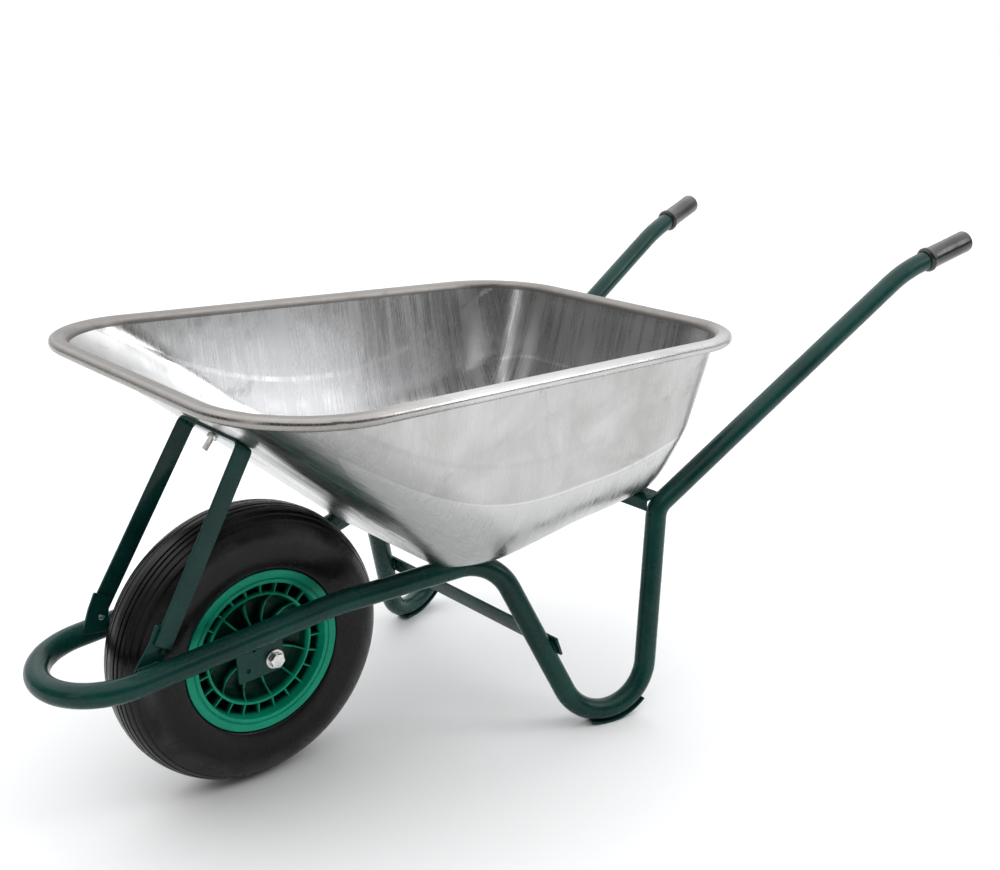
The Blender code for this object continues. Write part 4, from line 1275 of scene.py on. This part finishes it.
def build_grips():
    path = side_path()
    end = path[-1]
    direction = (end - path[-2]).normalized()
    profile = [
        (0.0, 0.0060),
        (GRIP_RADIUS - 0.0050, 0.0060),
        (GRIP_RADIUS - 0.0025, 0.0052),
        (GRIP_RADIUS - 0.0008, 0.0036),
        (GRIP_RADIUS, 0.0010),
        (GRIP_RADIUS - 0.0003, -0.030),
        (GRIP_RADIUS, 0.0120 - GRIP_LENGTH),
        (GRIP_RADIUS + 0.0004, 0.0105 - GRIP_LENGTH),
        (COLLAR_RADIUS - 0.0008, 0.0090 - GRIP_LENGTH),
        (COLLAR_RADIUS, 0.0078 - GRIP_LENGTH),
        (COLLAR_RADIUS, 0.0042 - GRIP_LENGTH),
        (COLLAR_RADIUS - 0.0008, 0.0030 - GRIP_LENGTH),
        (GRIP_RADIUS + 0.0002, 0.0018 - GRIP_LENGTH),
        (GRIP_RADIUS - 0.0004, 0.0004 - GRIP_LENGTH),
        (GRIP_RADIUS - 0.0012, -GRIP_LENGTH),
        (TUBE_RADIUS + GAP, -GRIP_LENGTH),
        (TUBE_RADIUS + GAP, GAP),
        (0.0, GAP),
    ]
    shape = lathe_shape(profile, end, direction, 64)
    for side, name in SIDES:
        piece("handle_grip_" + name, handed(shape, side), "grip_plastic", "grip_" + name, smooth=40.0)


# ---------------------------------------------------------------- wheel


def both_sides(half_profile):
    """A profile given for +Y, from the tyre side round to the hub, with its mirror image before it."""
    return [(radius, -along) for radius, along in reversed(half_profile)] + half_profile


def smooth_curve(points, steps):
    """A smooth curve through the points, for a profile."""
    points = [Vector(point) for point in points]
    padded = [points[0] * 2 - points[1]] + points + [points[-1] * 2 - points[-2]]
    made = []
    for a, b, c, d in zip(padded, padded[1:], padded[2:], padded[3:]):
        for index in range(steps):
            t = index / steps
            square, cube = 2 * a - 5 * b + 4 * c - d, 3 * b - a - 3 * c + d
            made.append(0.5 * (2 * b + (c - a) * t + square * t**2 + cube * t**3))
    made.append(points[-1])
    return made


def wheel_shape():
    half = [
        (0.0965, 0.0180),
        (BEAD_SEAT_RADIUS, 0.0240),
        (BEAD_SEAT_RADIUS, 0.0415),
        (FLANGE_RADIUS, 0.0420),
        (FLANGE_RADIUS, 0.0460),
        (0.1062, 0.0460),
        (0.1054, 0.0438),
        (0.1040, 0.0438),
        (0.1032, 0.0460),
        (0.0984, 0.0460),
        (0.0972, 0.0360),
        (0.0950, 0.0150),
        (0.0925, 0.0105),
        (0.0850, 0.0100),
        (0.0822, 0.0125),
        (0.0815, 0.0360),
        (0.0780, 0.0360),
        (0.0765, 0.0270),
        (0.0735, 0.0190),
        (0.0680, 0.0125),
        (0.0600, 0.0085),
        (0.0500, 0.0065),
        (0.0350, 0.0055),
        (0.0225, 0.0060),
        (0.0205, HUB_HALF),
        (0.0143, HUB_HALF),
        (0.0143, HUB_HALF - 0.010),
        (0.0105, HUB_HALF - 0.010),
    ]
    return lathe_shape(rounded_loop(both_sides(half), 0.0009), AXLE, LEFT, 160)


def rib_shape(angle, outline):
    """A flat rib that stands along a spoke. Its outline holds (radius, distance from the middle plane)."""
    outline = both_sides(outline)
    inner = moved_inwards(outline, 0.0005)
    spoke = Vector((math.cos(angle), 0.0, math.sin(angle)))
    sideways = spoke.cross(LEFT)
    half = RIB_THICKNESS / 2
    layers = [(inner, -half), (outline, 0.0005 - half), (outline, half - 0.0005), (inner, half)]
    points = [
        AXLE + spoke * radius + LEFT * along + sideways * shift
        for loop, shift in layers
        for radius, along in loop
    ]
    return points, strip_faces(len(layers), len(outline))


def build_wheel_centre():
    outer_end = [(0.0805, 0.0352), (0.0860, 0.0348), (0.0988, 0.0352), (0.0988, 0.0245), (0.0958, 0.0160)]
    long_rib = [(0.0180, 0.0375), (0.0215, 0.0370), (0.0300, 0.0285), (0.0400, 0.0215), (0.0520, 0.0190)]
    long_rib += [(0.0640, 0.0215), (0.0730, 0.0285), (0.0775, 0.0345)]
    wheel = piece("wheel_rim", wheel_shape(), "green_plastic", "wheel_centre", "wheel")
    ribs = []
    pitch = 2 * math.pi / RIB_COUNT
    for index in range(RIB_COUNT):
        angle = RIB_START + pitch * index
        ribs.append(rib_shape(angle, list(reversed(long_rib + outer_end))))
        ribs.append(rib_shape(angle + pitch / 2, list(reversed(outer_end))))
    boolean(wheel, merged(ribs), "UNION")


def tyre_profile():
    """The tyre's outside from the left bead over the tread to the middle, with its ribs and grooves."""
    side = [
        (FLANGE_RADIUS + 0.0012, 0.0421),
        (0.1190, 0.0462),
        (0.1255, 0.0492),
        (0.1380, 0.0522),
        (0.1530, 0.0530),
        (0.1680, 0.0510),
        (0.1800, 0.0455),
        (0.1890, 0.0370),
        (0.1950, 0.0265),
        (0.1986, 0.0135),
        (TYRE_RADIUS, 0.0000),
    ]
    made = []
    for radius, along in smooth_curve(side, 16):
        groove = (along - FIRST_GROOVE) / GROOVE_PITCH
        depth = 0.0
        if 0.006 < along < 0.043 and -0.5 < groove < 4.4:
            nearest = abs(groove - round(groove)) * GROOVE_PITCH
            depth = GROOVE_DEPTH * max(0.0, min(1.0, (0.0016 - nearest) / 0.0006))
        made.append((radius - depth * 0.95, along - depth * 0.30))
    return made


def build_tyre():
    bead = [(BEAD_SEAT_RADIUS + GAP, 0.0300), (BEAD_SEAT_RADIUS + GAP, 0.0411), (0.1165, 0.0415)]
    inner = [(0.1060, 0.0285), (0.1240, 0.0405), (0.1450, 0.0465), (0.1640, 0.0445), (0.1790, 0.0355)]
    inner += [(0.1885, 0.0190), (0.1915, 0.0000)]
    outside = bead + tyre_profile()
    inside = [tuple(point) for point in smooth_curve(inner, 4)]
    loop = outside + [(radius, -along) for radius, along in reversed(outside[:-1])]
    loop += [(radius, -along) for radius, along in inside] + list(reversed(inside[:-1]))
    piece("tyre_cover", lathe_shape(loop, AXLE, LEFT, 200), "tyre_rubber", "tyre", "wheel", 50.0)


def build_axle():
    """The axle bolt, its nut and washers, and the sleeves beside the hub."""
    face = BRACKET_OUTER + GAP + WASHER / 2
    base = BRACKET_OUTER + 2 * GAP + WASHER
    head = nut_shape(AXLE + LEFT * (base + AXLE_HEAD / 2), LEFT, SPANNER, 0.0, AXLE_HEAD)
    low = -base - AXLE_NUT - 0.006
    shank = [(0.0, low), (AXLE_RADIUS * 0.8, low)]
    shank += thread_profile(AXLE_RADIUS, low + 0.001, low + 0.022, 0.00175)
    shank += [(AXLE_RADIUS, low + 0.0225), (AXLE_RADIUS, base + 0.001), (0.0, base + 0.001)]
    bolt = lathe_shape(shank, AXLE, LEFT, 48)
    bolt = piece("axle_bolt_turned", bolt, "zinc_plate", "axle_bolt", smooth=30.0)
    boolean(bolt, head, "UNION", 30.0)
    nut = nut_shape(AXLE - LEFT * (base + GAP + AXLE_NUT / 2), LEFT, SPANNER, 0.0064, AXLE_NUT)
    piece("axle_nut_hex", nut, "zinc_plate", "axle_nut", smooth=30.0)
    for side, name in SIDES:
        middle = AXLE + LEFT * (side * face)
        shape = ring_shape(middle, LEFT, 0.0135, AXLE_RADIUS + GAP, WASHER)
        piece("flat_washer_" + name, shape, "zinc_plate", "axle_washer_" + name, smooth=40.0)
        first, last = HUB_HALF + 2 * GAP, BRACKET_INNER - GAP
        middle = AXLE + LEFT * (side * (first + last) / 2)
        shape = ring_shape(middle, LEFT, 0.0095, AXLE_RADIUS + GAP, last - first)
        piece("spacer_sleeve_" + name, shape, "zinc_plate", "axle_sleeve_" + name, smooth=40.0)


# ---------------------------------------------------------------- stage


def build_stage():
    bpy.ops.mesh.primitive_plane_add(size=60.0)
    floor = bpy.context.object
    floor.name = "floor"
    look = Look("floor_white", (0.93, 0.93, 0.93), 0.9)
    look.roughness(look.spread(look.noise(look.place(), 3.0), 0.3, 0.7, 0.85, 0.95))
    floor.data.materials.append(look.material)


def build_world():
    """A studio that is bright above and to the barrow's right, dim ahead, and white where seen directly."""
    world = bpy.data.worlds.new("studio")
    bpy.context.scene.world = world
    world.use_nodes = True
    tree = world.node_tree
    coordinates = add_node(tree, "ShaderNodeTexCoord")
    toward_light = add_node(tree, "ShaderNodeVectorMath", operation="DOT_PRODUCT")
    toward_light.inputs[1].default_value = (-0.45, -0.45, 0.77)
    tree.links.new(coordinates.outputs["Generated"], toward_light.inputs[0])
    ramp = add_node(tree, "ShaderNodeValToRGB")
    dim, bright = ramp.color_ramp.elements
    dim.position, dim.color = 0.08, (0.10, 0.098, 0.095, 1.0)
    bright.position, bright.color = 0.56, (1.00, 1.01, 1.03, 1.0)
    tree.links.new(toward_light.outputs["Value"], ramp.inputs["Fac"])
    seen = add_node(tree, "ShaderNodeLightPath")
    mix = add_node(tree, "ShaderNodeMix", data_type="RGBA")
    mix.inputs[7].default_value = (1.0, 1.0, 1.0, 1.0)
    tree.links.new(seen.outputs["Is Camera Ray"], mix.inputs["Factor"])
    tree.links.new(ramp.outputs["Color"], mix.inputs[6])
    tree.links.new(mix.outputs[2], tree.nodes["Background"].inputs["Color"])


def area_light(name, place, target, size, power):
    data = bpy.data.lights.new(name, "AREA")
    data.shape = "RECTANGLE"
    data.size, data.size_y = size
    data.energy = power
    light = bpy.data.objects.new(name, data)
    light.location = place
    light.rotation_euler = (Vector(target) - Vector(place)).to_track_quat("-Z", "Y").to_euler()
    bpy.context.scene.collection.objects.link(light)


def build_lights():
    """A wide soft light from above for an even floor, and two boxes whose edges show in the paint."""
    middle = (0.0, 0.0, 0.35)
    area_light("left_softbox", (-2.2, 2.2, 2.0), middle, (0.8, 1.3), 14.0)
    area_light("front_softbox", (2.9, 0.6, 1.6), middle, (0.6, 1.8), 5.0)
    data = bpy.data.lights.new("ceiling", "SUN")
    data.energy = 1.90
    data.angle = math.radians(110)
    ceiling = bpy.data.objects.new("ceiling", data)
    ceiling.rotation_euler = (math.radians(6), math.radians(-8), 0.0)
    bpy.context.scene.collection.objects.link(ceiling)


def build_camera():
    """The viewpoint: ahead of the barrow on its left side and a little above it."""
    data = bpy.data.cameras.new("camera")
    data.lens = LENS
    data.sensor_width = 36.0
    data.shift_y = SHIFT_UP
    camera = bpy.data.objects.new("camera", data)
    flat = math.cos(ELEVATION)
    back = Vector((math.sin(AZIMUTH) * flat, -math.cos(AZIMUTH) * flat, math.sin(ELEVATION)))
    camera.location = TARGET + back * DISTANCE
    camera.rotation_euler = (-back).to_track_quat("-Z", "Y").to_euler()
    bpy.context.scene.collection.objects.link(camera)
    bpy.context.scene.camera = camera
    bpy.context.scene.view_settings.view_transform = "Standard"


def finish_shown_nodes():
    """Gives the CAD nodes that stay in view their finished materials."""
    slots = {row["node"]: row["material_slot"] for row in frame["record"]["subparts"]}
    for name, node in frame["nodes"].items():
        if node.hide_render:
            continue
        for index in range(len(node.material_slots)):
            node.material_slots[index].material = LOOKS[slots[name]]


def main():
    build_tubes()
    build_foot_plates()
    build_brackets()
    build_tabs()
    build_strap()
    build_brace()
    build_crossmember()
    build_welds()
    build_tray()
    build_tray_bolts()
    build_grips()
    build_wheel_centre()
    build_tyre()
    build_axle()
    finish_shown_nodes()
    build_stage()
    build_world()
    build_lights()
    build_camera()


main()
